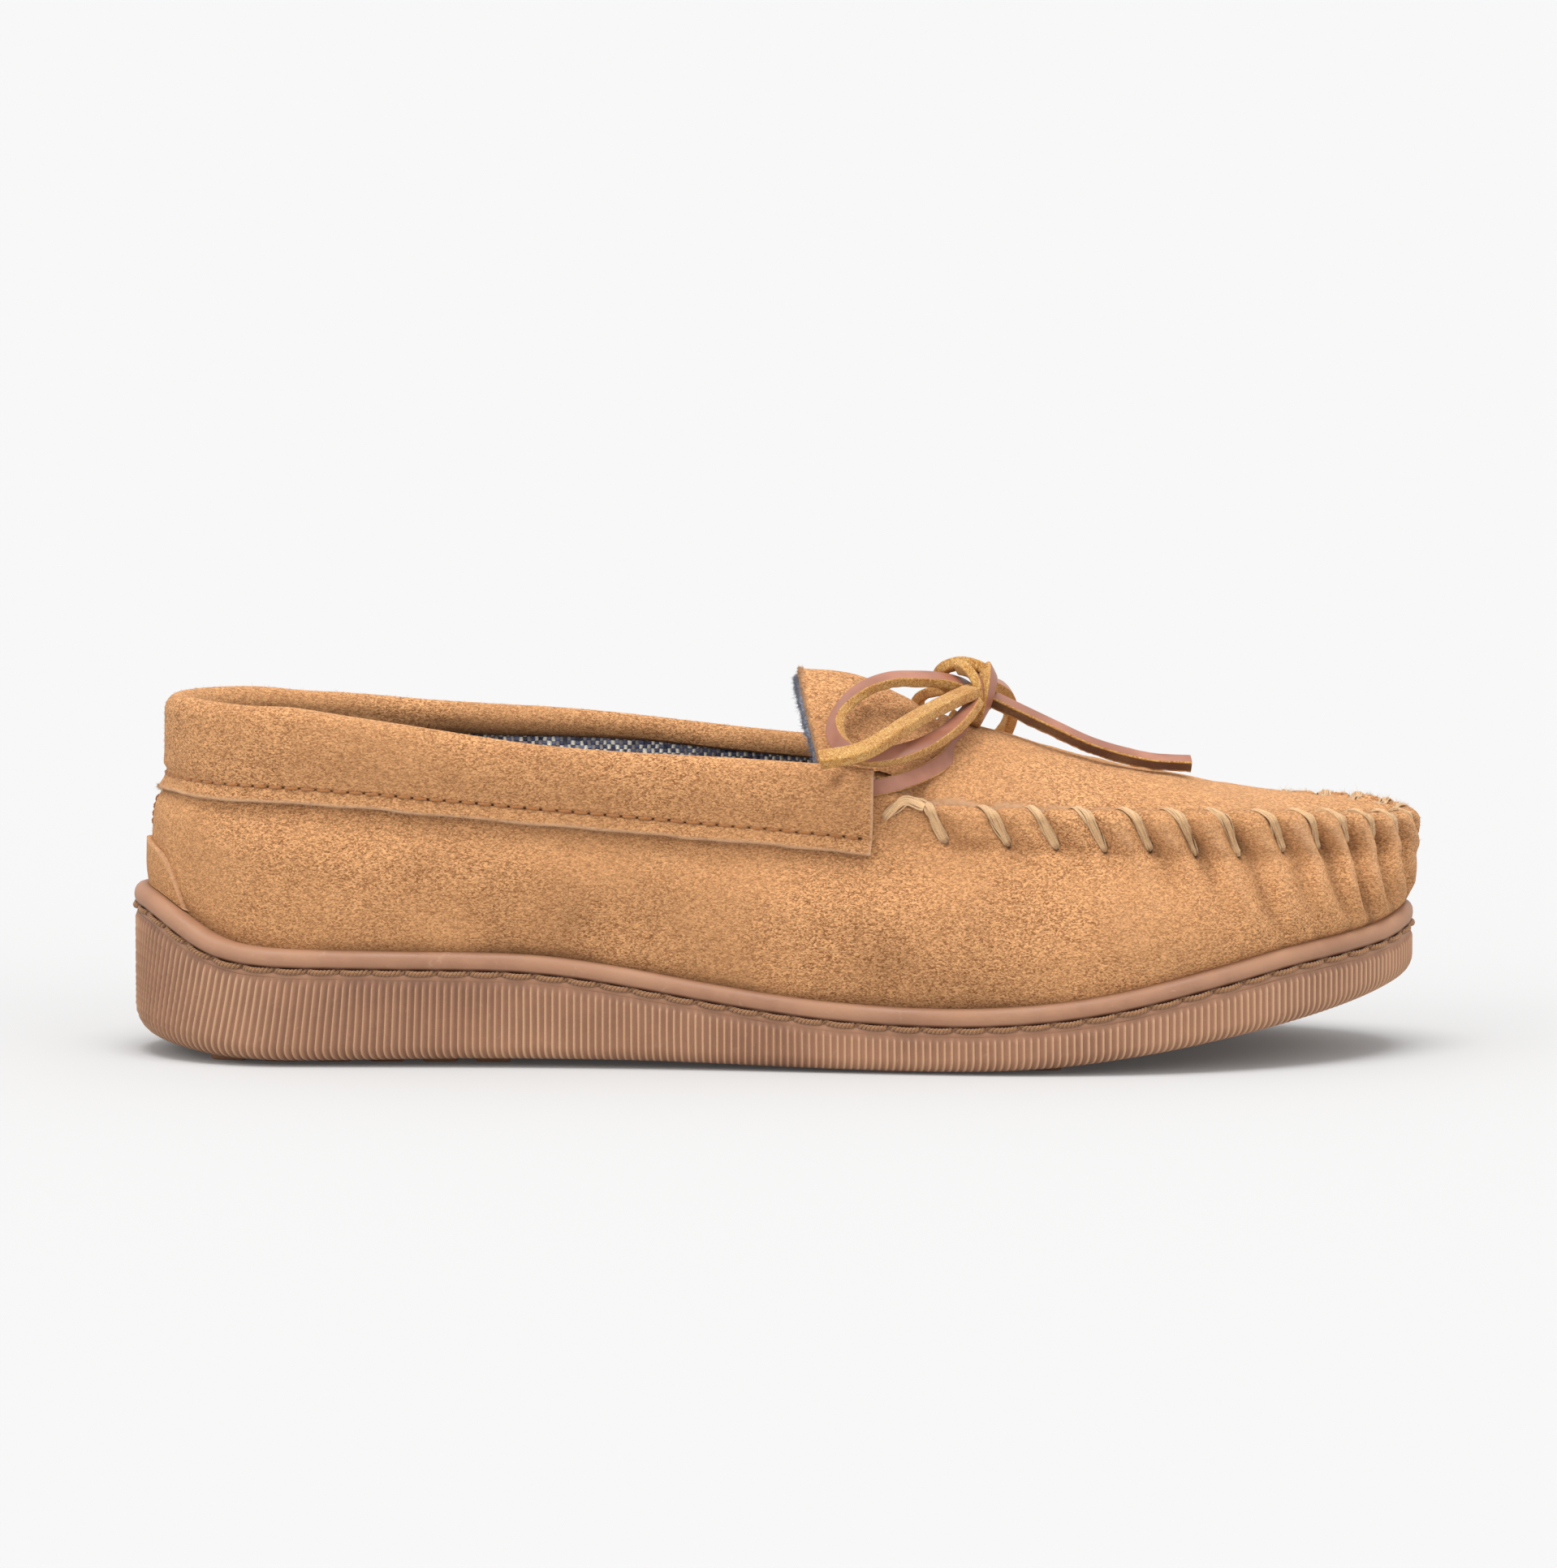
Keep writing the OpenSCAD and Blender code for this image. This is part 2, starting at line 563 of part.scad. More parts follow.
outsole();
midsole_filler();
insole_board();
foam_footbed();
sock_liner();
side_wall();
quarter_lining();
heel_counter();
heel_tab();
plug();
plug_lining();
tongue();
tongue_lining();
collar();
collar_lace();
lace_knot();
lateral_loop();
medial_loop();
lateral_tail();
toe_tail();
sole_stitching();
collar_stitching();
whip_stitching();
back_seam_stitching();
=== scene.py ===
"""Looks of the moccasin: suede upper, ribbed rubber cup sole, whip-stitched plug and tied thong.

The shapes are worked out in millimetres from a sample shoe's curves, and scaled to the part as meshes are made.
"""
import math

import bpy
import numpy as np
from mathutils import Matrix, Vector


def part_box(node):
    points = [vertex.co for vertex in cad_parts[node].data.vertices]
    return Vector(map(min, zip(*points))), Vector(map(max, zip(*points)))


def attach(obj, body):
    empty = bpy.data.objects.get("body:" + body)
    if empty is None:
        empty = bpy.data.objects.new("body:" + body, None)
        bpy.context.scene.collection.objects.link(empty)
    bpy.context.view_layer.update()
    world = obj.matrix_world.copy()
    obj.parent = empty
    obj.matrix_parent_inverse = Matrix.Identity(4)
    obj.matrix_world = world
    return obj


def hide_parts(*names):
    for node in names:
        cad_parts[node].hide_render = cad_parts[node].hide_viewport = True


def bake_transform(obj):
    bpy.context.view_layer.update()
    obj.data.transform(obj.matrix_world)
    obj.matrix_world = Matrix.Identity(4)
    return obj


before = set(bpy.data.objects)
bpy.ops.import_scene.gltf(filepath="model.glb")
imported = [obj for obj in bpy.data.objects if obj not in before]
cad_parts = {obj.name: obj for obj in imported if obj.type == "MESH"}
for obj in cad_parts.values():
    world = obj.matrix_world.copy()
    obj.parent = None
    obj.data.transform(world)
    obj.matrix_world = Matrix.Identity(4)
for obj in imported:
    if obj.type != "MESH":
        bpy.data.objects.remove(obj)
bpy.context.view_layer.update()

# The sample shoe's sole length, sole width and collar height in mm, and the part's own in metres.
SAMPLE_SIZE = (290.844, 100.838, 81.8)
SOLE_LO, SOLE_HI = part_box("outsole")
SCALE = np.array([SOLE_HI[0] - SOLE_LO[0], SOLE_HI[1] - SOLE_LO[1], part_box("collar")[1][2]]) / SAMPLE_SIZE

# ---------------------------------------------------------------- the sample shoe's curves
# Unless a comment says otherwise, each knot is a share of the length, from heel to toe, and a value in mm.
CENTRE = [[0, 0], [0.3, -2], [0.45, -2.4], [0.6, -1.5], [0.72, -0.5], [0.85, 1.5], [1, 5]]
# Half widths of the sole and of the top edge about the middle line CENTRE.
SOLE_HALF = [[0, 33], [0.12, 33.8], [0.3, 34], [0.45, 38], [0.6, 46.5], [0.7, 50], [0.8, 49.5], [1, 46]]
TOP_HALF = [[0, 27], [0.12, 27.3], [0.3, 29.3], [0.5, 31.8], [0.58, 33.2], [0.65, 36.5], [0.74, 38],
            [0.85, 35.5], [1, 28]]
# Heights of the sole's underside, the bead's top, the collar's crown, the seam ridge and the footbed.
# RIM_TILT is added on the inner side and taken off on the outer side; SEAM_TILT is added on the inner side only.
SOLE_BOTTOM = [[0, 3], [0.07, 1.2], [0.27, 1.8], [0.4, 1.7], [0.53, 0.8], [0.65, 0.6], [0.72, 1.6],
               [0.78, 3.7], [0.84, 6.5], [0.907, 10], [0.96, 13.3], [1, 16.4]]
BEAD_TOP = [[0, 38.4], [0.012, 37.2], [0.06, 29.3], [0.1, 27], [0.2, 26.3], [0.3, 25.8], [0.36, 24],
            [0.47, 18.7], [0.54, 16.2], [0.63, 15], [0.7, 15.9], [0.76, 18.2], [0.84, 23.3], [0.9, 27.3],
            [0.96, 30], [0.985, 31.6], [1, 33.6]]
RIM = [[0, 81.6], [0.09, 80.4], [0.15, 78.7], [0.21, 76.7], [0.27, 74.9], [0.34, 73.2], [0.47, 70.1],
       [0.53, 68.6], [0.561, 67.5]]
RIM_TILT = [[0, 0], [0.06, 0], [0.1, -0.5], [0.14, 0], [0.2, 0.5], [0.25, 1.1], [0.3, 1.6], [0.36, 1.5],
            [0.45, 0.6], [0.52, 0.2], [0.6, 0]]
SEAM_TILT = [[0.7, 0], [0.8, -0.8], [0.88, -0.9], [0.93, 0.4], [0.97, 1.3], [1, 0.4]]
SEAM = [[0.561, 61.7], [0.61, 59.9], [0.66, 59.2], [0.78, 58.2], [0.907, 56.6], [1, 54.8]]
FOOTBED = [[0, 20], [0.2, 18], [0.45, 15], [0.65, 11.5], [0.75, 12.5], [0.85, 17.5], [1, 27]]
# The plug's and the tongue's middle line: each knot is an x and a height.
PLUG_RIDGE = [[28, 80.9], [37.6, 76.6], [45, 74], [52, 72.1], [66.9, 67.7], [78.7, 64.8], [90.5, 62.7],
              [100, 60.7], [110, 59], [122, 57.2], [137, 55.4], [147, 54]]
TONGUE_RIDGE = [[5, 87.2], [13, 86.2], [20, 84.7], [28, 80.9], [36, 77]]
HEEL_X, TOE_X = -146.0, 145.0
COLLAR_END = 0.561                # share of the length at which the collar ends
TOP_HEEL_X, TOP_TOE_X = HEEL_X + 8.7, TOE_X + 1.2      # the top edge, from its rear to its toe
BEAD = 4.8                        # height of the bead above the stitch groove
SUEDE = 1.6                       # thickness of the plug's suede
THROAT_RISE = 1.6                 # rise of the seam ridge beside the tongue
STEP = 0.002                      # step of place used for directions
YARN = 0.95                       # pitch of the lining's yarns


def curve(knots, x):
    """Smooth curve through knots [x, value]; a value is a number or a point."""
    kx = np.array([k[0] for k in knots], float)
    ky = np.array([k[1] for k in knots], float)
    width = np.diff(kx)
    wide = (lambda w: w[:, None]) if ky.ndim == 2 else (lambda w: w)
    m = np.empty_like(ky)
    m[1:-1] = (ky[2:] - ky[:-2]) / wide(width[1:] + width[:-1])
    m[0] = (ky[1] - ky[0]) / width[0]
    m[-1] = (ky[-1] - ky[-2]) / width[-1]
    x = np.clip(np.asarray(x, float), kx[0], kx[-1])
    i = np.clip(np.searchsorted(kx, x, side="right") - 1, 0, len(kx) - 2)
    h = width[i]
    f = (x - kx[i]) / h
    if ky.ndim == 2:
        h, f = h[..., None], f[..., None]
    f2, f3 = f * f, f * f * f
    return ((2 * f3 - 3 * f2 + 1) * ky[i] + (f3 - 2 * f2 + f) * h * m[i]
            + (3 * f2 - 2 * f3) * ky[i + 1] + (f3 - f2) * h * m[i + 1])


def lerp(a, b, f):
    return a + (b - a) * f


def smooth(x, lo, hi):
    """0 below lo, 1 above hi and an eased step between them."""
    f = np.clip((np.asarray(x, float) - lo) / (hi - lo), 0, 1)
    return f * f * (3 - 2 * f)


def bell(x, width):
    return np.exp(-(x / width) ** 2)


def unit(v):
    return v / (np.linalg.norm(v, axis=-1, keepdims=True) + 1e-9)


def join(*arrays):
    """Arrays broadcast together, as the last axis of one array."""
    return np.stack(np.broadcast_arrays(*arrays), -1)


def raised(xy, z):
    """Points at plan positions xy and heights z."""
    return np.concatenate([xy, np.broadcast_to(z, xy.shape[:-1])[..., None]], -1)


def lengths(points):
    """Distance from the first point to each point of a line."""
    return np.concatenate([[0], np.cumsum(np.linalg.norm(np.diff(points, axis=0), axis=1))])


def resample(points, at, q):
    """Points at the values q of a line whose points lie at the values at."""
    return join(*(np.interp(q, at, points[:, k]) for k in range(3)))


# ---------------------------------------------------------------- places round the shoe
# A place a runs from 0 at the heel by the outer side to 0.5 at the toe and back by the inner side to 1.
def wrap(a):
    return a - np.floor(a)


def along(a):
    """The share of the length at place a."""
    w = wrap(np.asarray(a, float))
    return (1 - np.cos(np.pi * np.where(w < 0.5, 2 * w, 2 - 2 * w))) / 2


def side(a):
    return np.where(wrap(np.asarray(a, float)) < 0.5, -1.0, 1.0)


def place(t):
    """The place on the outer side at a share t of the length."""
    return np.arccos(1 - 2 * np.asarray(t, float)) / (2 * np.pi)


def share_sole(x):
    """The share of the length at which the sole passes x."""
    return (np.asarray(x, float) - HEEL_X) / (TOE_X - HEEL_X)


def share_top(x):
    """The share of the length at which the top edge passes x."""
    return (np.asarray(x, float) - TOP_HEEL_X) / (TOP_TOE_X - TOP_HEEL_X)


def rounding(t, heel, toe):
    """Narrows a plan to nothing over its first and last shares."""
    a = np.maximum(0, 1 - t / heel)
    b = np.maximum(0, 1 - (1 - t) / toe)
    return np.sqrt(np.maximum(0, 1 - a * a)) * np.sqrt(np.maximum(0, 1 - b * b))


def outline(a, inset=0.0):
    """The sole's plan outline, moved in by inset."""
    t = along(a)
    y = curve(CENTRE, t) + side(a) * (curve(SOLE_HALF, t) - inset) * rounding(t, 0.12, 0.24)
    return join(lerp(HEEL_X + inset, TOE_X - inset, t), y)


def top_edge(a):
    t = along(a)
    y = curve(CENTRE, t) + side(a) * curve(TOP_HALF, t) * rounding(t, 0.12, 0.22)
    return join(lerp(TOP_HEEL_X, TOP_TOE_X, t), y)


def lean(t, v):
    """How far the wall has moved from the outline towards the top edge at a share v of its height."""
    rear = curve([[0, 0], [0.4, 0.04], [0.52, 0.2], [0.64, 0.72], [0.74, 0.93], [1, 1]], v)
    front = curve([[0, 0], [0.26, 0.03], [0.5, 0.3], [0.72, 0.8], [0.86, 0.97], [1, 1]], v)
    return lerp(rear, front, smooth(t, 0.5, 0.68))


def wall_inset(t, v):
    heel = curve([[0, 4.2], [0.12, 3.6], [0.3, 3.6], [1, 4.6]], v)
    front = curve([[0, 2.2], [0.04, 1.1], [0.1, 0.6], [0.3, 0.5], [1, 0.4]], v)
    return lerp(heel, front, smooth(t, 0.02, 0.2))


def rim_at(a):
    """Height of the collar's crown, which differs a little from side to side."""
    t = along(a)
    return curve(RIM, t) + side(a) * curve(RIM_TILT, t)


def wall_top(a):
    """The wall's top edge: hidden inside the collar behind the collar's end, the seam ridge in front of it."""
    t = along(a)
    ridge = curve(SEAM, t) + np.maximum(side(a), 0) * curve(SEAM_TILT, t) + THROAT_RISE * bell(t - 0.574, 0.018)
    return np.where(t < COLLAR_END, rim_at(a) - 6.2, ridge)


def wall_foot(t):
    return curve(BEAD_TOP, t)


def wall_plan(a, v):
    t = along(a)
    low = outline(a, wall_inset(t, v))
    return low + (top_edge(a) - low) * lean(t, v)[..., None]


def inward(a, v):
    """Level direction into the shoe, square to the wall."""
    d = unit(wall_plan(a + STEP, v) - wall_plan(a - STEP, v))
    return join(-d[..., 1], d[..., 0])


# Distance along the sole's outline and along the top edge, as tables against the place.
TABLE_A = np.linspace(0, 1, 8001)
TABLE_SOLE = lengths(outline(TABLE_A))
TABLE_TOP = lengths(top_edge(TABLE_A))
AROUND = TABLE_SOLE[-1]


def evenly(n, lo=0.0, hi=1.0):
    """n + 1 places from lo to hi at equal distances along the sole's outline, and those distances."""
    s0 = np.interp(wrap(lo), TABLE_A, TABLE_SOLE) + math.floor(lo) * AROUND
    s1 = AROUND if hi == 1.0 else np.interp(wrap(hi), TABLE_A, TABLE_SOLE) + math.floor(hi) * AROUND
    s = np.linspace(s0, s1, n + 1)
    return np.interp(s % AROUND, TABLE_SOLE, TABLE_A) + np.floor(s / AROUND) * (s < AROUND), s


def all_round(n):
    """n places all round the shoe, at equal distances along the sole's outline, and those distances."""
    a, s = evenly(n)
    return a[:-1], s[:-1]


# ---------------------------------------------------------------- noise used in the shapes
def lattice(ix, iy, iz, seed):
    h = (ix * 374761393 + iy * 668265263 + iz * 2147483647 + seed * 1274126177) & 0xFFFFFFFF
    h = ((h ^ (h >> 13)) * 1103515245) & 0xFFFFFFFF
    h = (h ^ (h >> 16)) & 0xFFFF
    return h / 32767.5 - 1


def noise(p, size, seed=0):
    """Value noise from -1 to 1 at points p, with features of the given size in mm."""
    q = np.asarray(p, float) / size + 1000
    i = np.floor(q).astype(np.int64)
    f = q - i
    f = f * f * (3 - 2 * f)
    out = 0
    for dx in (0, 1):
        for dy in (0, 1):
            for dz in (0, 1):
                w = ((f[..., 0] if dx else 1 - f[..., 0]) * (f[..., 1] if dy else 1 - f[..., 1])
                     * (f[..., 2] if dz else 1 - f[..., 2]))
                out = out + w * lattice(i[..., 0] + dx, i[..., 1] + dy, i[..., 2] + dz, seed)
    return out


def unevenness(p):
    return 0.55 * noise(p, 34, 1) + 0.28 * noise(p, 13, 2) + 0.1 * noise(p, 5, 3)


# ---------------------------------------------------------------- meshes
class Part:
    """Vertices, faces, uv in mm, tone (-1 dark to 1 light) and material index, gathered into one mesh."""

    def __init__(self):
        self.v, self.f, self.uv, self.tone, self.mat, self.n = [], [], [], [], [], 0

    def add(self, points, faces, uv=None, tone=0.0, mat=0):
        """Adds points (n, 3) and the faces (m, 4) between them; a triangle repeats its last corner."""
        n = len(points)
        self.v.append(points)
        self.f.append(faces + self.n)
        self.uv.append(np.zeros((n, 2)) if uv is None else uv)
        self.tone.append(np.broadcast_to(tone, n))
        self.mat.append(np.broadcast_to(mat, len(faces)))
        self.n += n

    def grid(self, p, uv=None, tone=0.0, close_u=False, close_v=False, mat=0, flip=False):
        """A sheet of points p (rows, columns, 3); mat fits the sheet's faces in the same way."""
        nu, nv = p.shape[:2]
        idx = np.arange(nu * nv).reshape(nu, nv)
        if close_u:
            idx = np.concatenate([idx, idx[:1]], 0)
        if close_v:
            idx = np.concatenate([idx, idx[:, :1]], 1)
        quads = np.stack([idx[:-1, :-1], idx[1:, :-1], idx[1:, 1:], idx[:-1, 1:]], -1)
        mat = np.broadcast_to(mat, quads.shape[:2]).reshape(-1)
        quads = quads.reshape(-1, 4)
        quads = quads[:, ::-1] if flip else quads
        uv = None if uv is None else uv.reshape(-1, 2)
        self.add(p.reshape(-1, 3), quads, uv, np.broadcast_to(tone, (nu, nv)).reshape(-1), mat)

    def cap(self, ring, flip=False, mat=0):
        """Fan over a ring of points."""
        i = np.arange(len(ring))
        centre = np.full_like(i, len(ring))
        tri = np.stack([i, np.roll(i, -1), centre, centre], -1)
        self.add(np.concatenate([ring, ring.mean(0)[None]]), tri[:, [1, 0, 2, 3]] if flip else tri, mat=mat)

    def ladder(self, ring, flip=False, tone=0.0):
        """Cap over a ring whose point i faces point n - 1 - i."""
        n = len(ring)
        i = np.arange(n // 2 - 1)
        quads = np.stack([n - 1 - i, n - 2 - i, i + 1, i], -1)
        self.add(ring, quads[:, ::-1] if flip else quads, tone=tone)

    def build(self, name, mats, body, node, bend=None):
        """Makes the mesh, which stands for node; it rides on body, or, when bend is given, stays in place with
        no parent.
        """
        faces = np.concatenate(self.f)
        corners = np.where(faces[:, 2] == faces[:, 3], 3, 4)
        loops = faces[np.arange(4) < corners[:, None]]
        me = bpy.data.meshes.new(name)
        me.vertices.add(self.n)
        me.vertices.foreach_set("co", (np.concatenate(self.v) * SCALE).astype(np.float32).reshape(-1))
        me.loops.add(len(loops))
        me.loops.foreach_set("vertex_index", loops.astype(np.int32))
        me.polygons.add(len(faces))
        me.polygons.foreach_set("loop_start", (np.cumsum(corners) - corners).astype(np.int32))
        me.polygons.foreach_set("material_index", np.concatenate(self.mat).astype(np.int32))
        me.polygons.foreach_set("use_smooth", np.ones(len(faces), bool))
        layer = me.uv_layers.new(name="mm")
        layer.data.foreach_set("uv", np.concatenate(self.uv)[loops].astype(np.float32).reshape(-1))
        attribute = me.attributes.new("tone", "FLOAT", "POINT")
        attribute.data.foreach_set("value", np.concatenate(self.tone).astype(np.float32))
        me.validate()
        me.update()
        for material in mats:
            me.materials.append(material)
        ob = bpy.data.objects.new(name, me)
        bpy.context.collection.objects.link(ob)
        if bend:
            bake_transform(ob)
        else:
            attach(ob, body)
        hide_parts(node)


UP = (0.03, 0.05, 1.0)


def axes(path, up=UP):
    """Two directions square to a path at each of its points; the second is near up."""
    t = unit(np.gradient(path, axis=0))
    b = unit(np.cross(t, up))
    return b, np.cross(b, t)


def tube(part, path, r, sides=6, squash=1.0, up=UP):
    """A thread along path (n, 3) with radius r, a number or one per point."""
    b, c = axes(path, up)
    ang = np.arange(sides) * 2 * np.pi / sides
    ring = np.cos(ang)[:, None] * b[:, None] + squash * np.sin(ang)[:, None] * c[:, None]
    p = path[:, None] + np.broadcast_to(r, len(path))[:, None, None] * ring
    part.grid(p, join(lengths(path)[:, None], ang), close_v=True)
    part.cap(p[0])
    part.cap(p[-1], flip=True)


def twisted(part, path, r, pitch, points):
    """A plied thread: two strands wound round path."""
    q = np.linspace(0, 1, points)
    core = resample(path, np.linspace(0, 1, len(path)), q)
    b, c = axes(core)
    for turn in (0, 0.5):
        ang = 2 * np.pi * (q * lengths(path)[-1] / pitch + turn)[:, None]
        tube(part, core + 0.5 * r * (np.cos(ang) * b + np.sin(ang) * c), 0.56 * r)


def fuzz(part, roots, out, length, r, seed, spread=0.8, tone=0.3, mat=0):
    """Short loose fibres, each a bent three-sided tube, that stand on roots (n, 3) and lean about out."""
    g = np.random.default_rng(seed)
    n = len(roots)
    d = unit(out + spread * g.normal(size=(n, 3)))
    bend = 0.6 * g.normal(size=(n, 3))
    size = length * (0.4 + 0.9 * g.random(n))[:, None, None]
    q = np.array([[0.0], [0.45], [1.0]])
    line = roots[:, None] + size * (q * d[:, None] + 0.5 * q ** 2 * bend[:, None])
    b = unit(np.cross(d, (0.3, 0.2, 1.0)))
    ang = np.arange(3)[:, None] * 2 * np.pi / 3
    ring = np.cos(ang) * b[:, None] + np.sin(ang) * np.cross(b, d)[:, None]
    thin = r * np.array([1.0, 0.8, 0.25])[:, None, None]
    p = line[:, :, None] + thin * ring[:, None]
    idx = np.arange(n * 9).reshape(n, 3, 3)
    nxt = np.roll(idx, -1, 2)
    quads = np.stack([idx[:, :-1], nxt[:, :-1], nxt[:, 1:], idx[:, 1:]], -1).reshape(-1, 4)
    part.add(p.reshape(-1, 3), quads, tone=tone, mat=mat)


def sprinkle(p, count, seed):
    """Random places on a sheet of points p, and the sheet's normals there."""
    g = np.random.default_rng(seed)
    i = g.integers(1, p.shape[0] - 1, count)
    j = g.integers(1, p.shape[1] - 1, count)
    du, dv = p[i + 1, j] - p[i - 1, j], p[i, j + 1] - p[i, j - 1]
    at = p[i, j] + du * (g.random((count, 1)) - 0.5) * 0.5 + dv * (g.random((count, 1)) - 0.5) * 0.5
    return at, unit(np.cross(du, dv))


# ---------------------------------------------------------------- materials
def srgb(r, g, b):
    return tuple(((c / 255 + 0.055) / 1.055) ** 2.4 for c in (r, g, b)) + (1.0,)


class Shader:
    """A material under construction: makes nodes and wires them by name.

    Bump distances are in metres. A scale counts per metre on the object and per millimetre on the uv.
    """

    def __init__(self, name):
        self.material = bpy.data.materials.new(name)
        self.material.use_nodes = True
        self.tree = self.material.node_tree
        self.tree.nodes.clear()
        self.bsdf = self.node("BsdfPrincipled")
        self.node("OutputMaterial", Surface=self.bsdf.outputs[0])
        self.object_place = self.node("TexCoord").outputs["Object"]

    def put(self, socket, value):
        if isinstance(value, bpy.types.NodeSocket):
            self.tree.links.new(value, socket)
        else:
            socket.default_value = value

    def fill(self, node, inputs):
        for key, value in inputs.items():
            self.put(node.inputs[key.replace("_", " ")], value)

    def node(self, kind, **inputs):
        n = self.tree.nodes.new("ShaderNode" + kind)
        self.fill(n, inputs)
        return n

    def uv(self):
        n = self.node("UVMap")
        n.uv_map = "mm"
        return n.outputs[0]

    def stretch(self, vector, x, y, z):
        return self.node("Mapping", Vector=vector, Scale=(x, y, z)).outputs[0]

    def noise(self, scale, detail=2.0, rough=0.5, vector=None, distortion=0.0):
        return self.node("TexNoise", Vector=vector or self.object_place, Scale=scale, Detail=detail,
                         Roughness=rough, Distortion=distortion).outputs["Fac"]

    def cells(self, scale, vector, output):
        return self.node("TexVoronoi", Vector=vector, Scale=scale).outputs[output]

    def math(self, op, *values):
        n = self.node("Math")
        n.operation = op
        for socket, value in zip(n.inputs, values):
            self.put(socket, value)
        return n.outputs[0]

    def total(self, *terms):
        """Sum of terms, each a value or a (value, factor)."""
        out = None
        for term in terms:
            value = self.math("MULTIPLY", *term) if isinstance(term, tuple) else term
            out = value if out is None else self.math("ADD", out, value)
        return out

    def ramp(self, fac, lo, hi, to_lo=0.0, to_hi=1.0):
        n = self.node("MapRange", Value=fac, From_Min=lo, From_Max=hi, To_Min=to_lo, To_Max=to_hi)
        n.interpolation_type = "SMOOTHSTEP"
        return n.outputs[0]

    def mix(self, fac, a, b):
        n = self.node("Mix")
        n.data_type = "RGBA"
        for socket, value in ((0, fac), (6, a), (7, b)):
            self.put(n.inputs[socket], value)
        return n.outputs[2]

    def toned(self, color, dark, light):
        """The color, going over to dark where the mesh's tone is below 0 and to light where it is above."""
        n = self.node("Attribute")
        n.attribute_name = "tone"
        tone = n.outputs["Fac"]
        return self.mix(self.ramp(tone, 0.0, 1.0), self.mix(self.ramp(tone, 0.0, -1.0), color, dark), light)

    def bump(self, height, strength, distance):
        return self.node("Bump", Strength=strength, Distance=distance, Height=height).outputs[0]

    def finish(self, color, rough, **more):
        self.fill(self.bsdf, dict(Base_Color=color, Roughness=rough, **more))
        return self.material


def suede_material():
    """Short fibres: flecks of light and dark, longer along the shoe than across it."""
    s = Shader("suede")
    fibre_place = s.stretch(s.object_place, 1.0, 1.0, 1.7)
    split = s.node("SeparateColor", Color=s.cells(2500, fibre_place, "Color"))
    nap = s.noise(1100, 3.0, 0.6, vector=fibre_place, distortion=1.0)
    patch = s.noise(90, 3.0, 0.55)
    # The nap lies flatter in some places than in others, and shows its flecks less there.
    rough = s.ramp(s.noise(26, 2.0, 0.5), 0.36, 0.66, 0.5, 0.9)
    fleck = s.math("SUBTRACT", split.outputs[0], 0.5)
    value = s.total((fleck, rough), 0.37, (s.ramp(nap, 0.35, 0.65), 0.2), (s.ramp(patch, 0.3, 0.7), 0.06))
    color = s.mix(value, srgb(134, 81, 43), srgb(252, 190, 132))
    color = s.toned(color, srgb(76, 42, 20), srgb(222, 178, 140))
    fine = s.noise(3600, 2.0, 0.6, vector=fibre_place, distortion=1.0)
    relief = s.bump(s.total(fine, (nap, 0.8)), 0.9, 0.0006)
    return s.finish(color, 0.95, Normal=relief, Specular_IOR_Level=0.1,
                    Sheen_Weight=0.2, Sheen_Roughness=0.5, Sheen_Tint=srgb(255, 214, 168))


def rubber_material():
    s = Shader("sole_rubber")
    speck = s.noise(900, 3.0, 0.6)
    blot = s.noise(60, 4.0, 0.6)
    dust = s.noise(260, 4.0, 0.7, distortion=1.0)
    color = s.mix(s.ramp(blot, 0.35, 0.65), srgb(136, 96, 71), srgb(150, 108, 81))
    color = s.mix(s.ramp(dust, 0.6, 0.76, 0.0, 0.35), color, srgb(176, 143, 117))
    color = s.toned(color, srgb(84, 52, 36), srgb(182, 142, 110))
    relief = s.bump(s.total((speck, 0.5), dust), 0.25, 0.0004)
    return s.finish(color, s.ramp(blot, 0.3, 0.7, 0.42, 0.6), Normal=relief, Specular_IOR_Level=0.4)


def grain_material():
    """The thong's smooth outer face."""
    s = Shader("thong_grain")
    blot = s.noise(90, 3.0, 0.55)
    color = s.mix(s.ramp(blot, 0.3, 0.7), srgb(134, 82, 60), srgb(160, 106, 83))
    color = s.toned(color, srgb(86, 50, 34), srgb(170, 128, 107))
    pores = s.bump(s.cells(2600, s.object_place, "Distance"), 0.18, 0.0002)
    return s.finish(color, s.ramp(blot, 0.3, 0.7, 0.36, 0.5), Normal=pores, Specular_IOR_Level=0.5)


def flesh_material():
    """The thong's fibrous back and cut sides."""
    s = Shader("thong_flesh")
    fibre = s.noise(2600, 4.0, 0.7, distortion=1.2)
    value = s.total((fibre, 0.85), (s.noise(160, 3.0, 0.6), 0.15))
    color = s.mix(s.ramp(value, 0.4, 0.5), srgb(154, 90, 32), srgb(208, 148, 68))
    color = s.mix(s.ramp(value, 0.51, 0.6), color, srgb(230, 194, 126))
    color = s.toned(color, srgb(92, 50, 22), srgb(240, 200, 122))
    return s.finish(color, 0.96, Normal=s.bump(fibre, 0.9, 0.0007), Specular_IOR_Level=0.1, Sheen_Weight=0.2)


def thread_material(name, dark, light, size):
    s = Shader(name)
    fibre = s.noise(3.0, 3.0, 0.6, vector=s.stretch(s.uv(), 0.9 * size, 3.0, 1.0))
    color = s.mix(s.ramp(fibre, 0.3, 0.7), dark, light)
    return s.finish(color, 0.85, Normal=s.bump(fibre, 0.7, 0.0003), Specular_IOR_Level=0.2, Sheen_Weight=0.3)


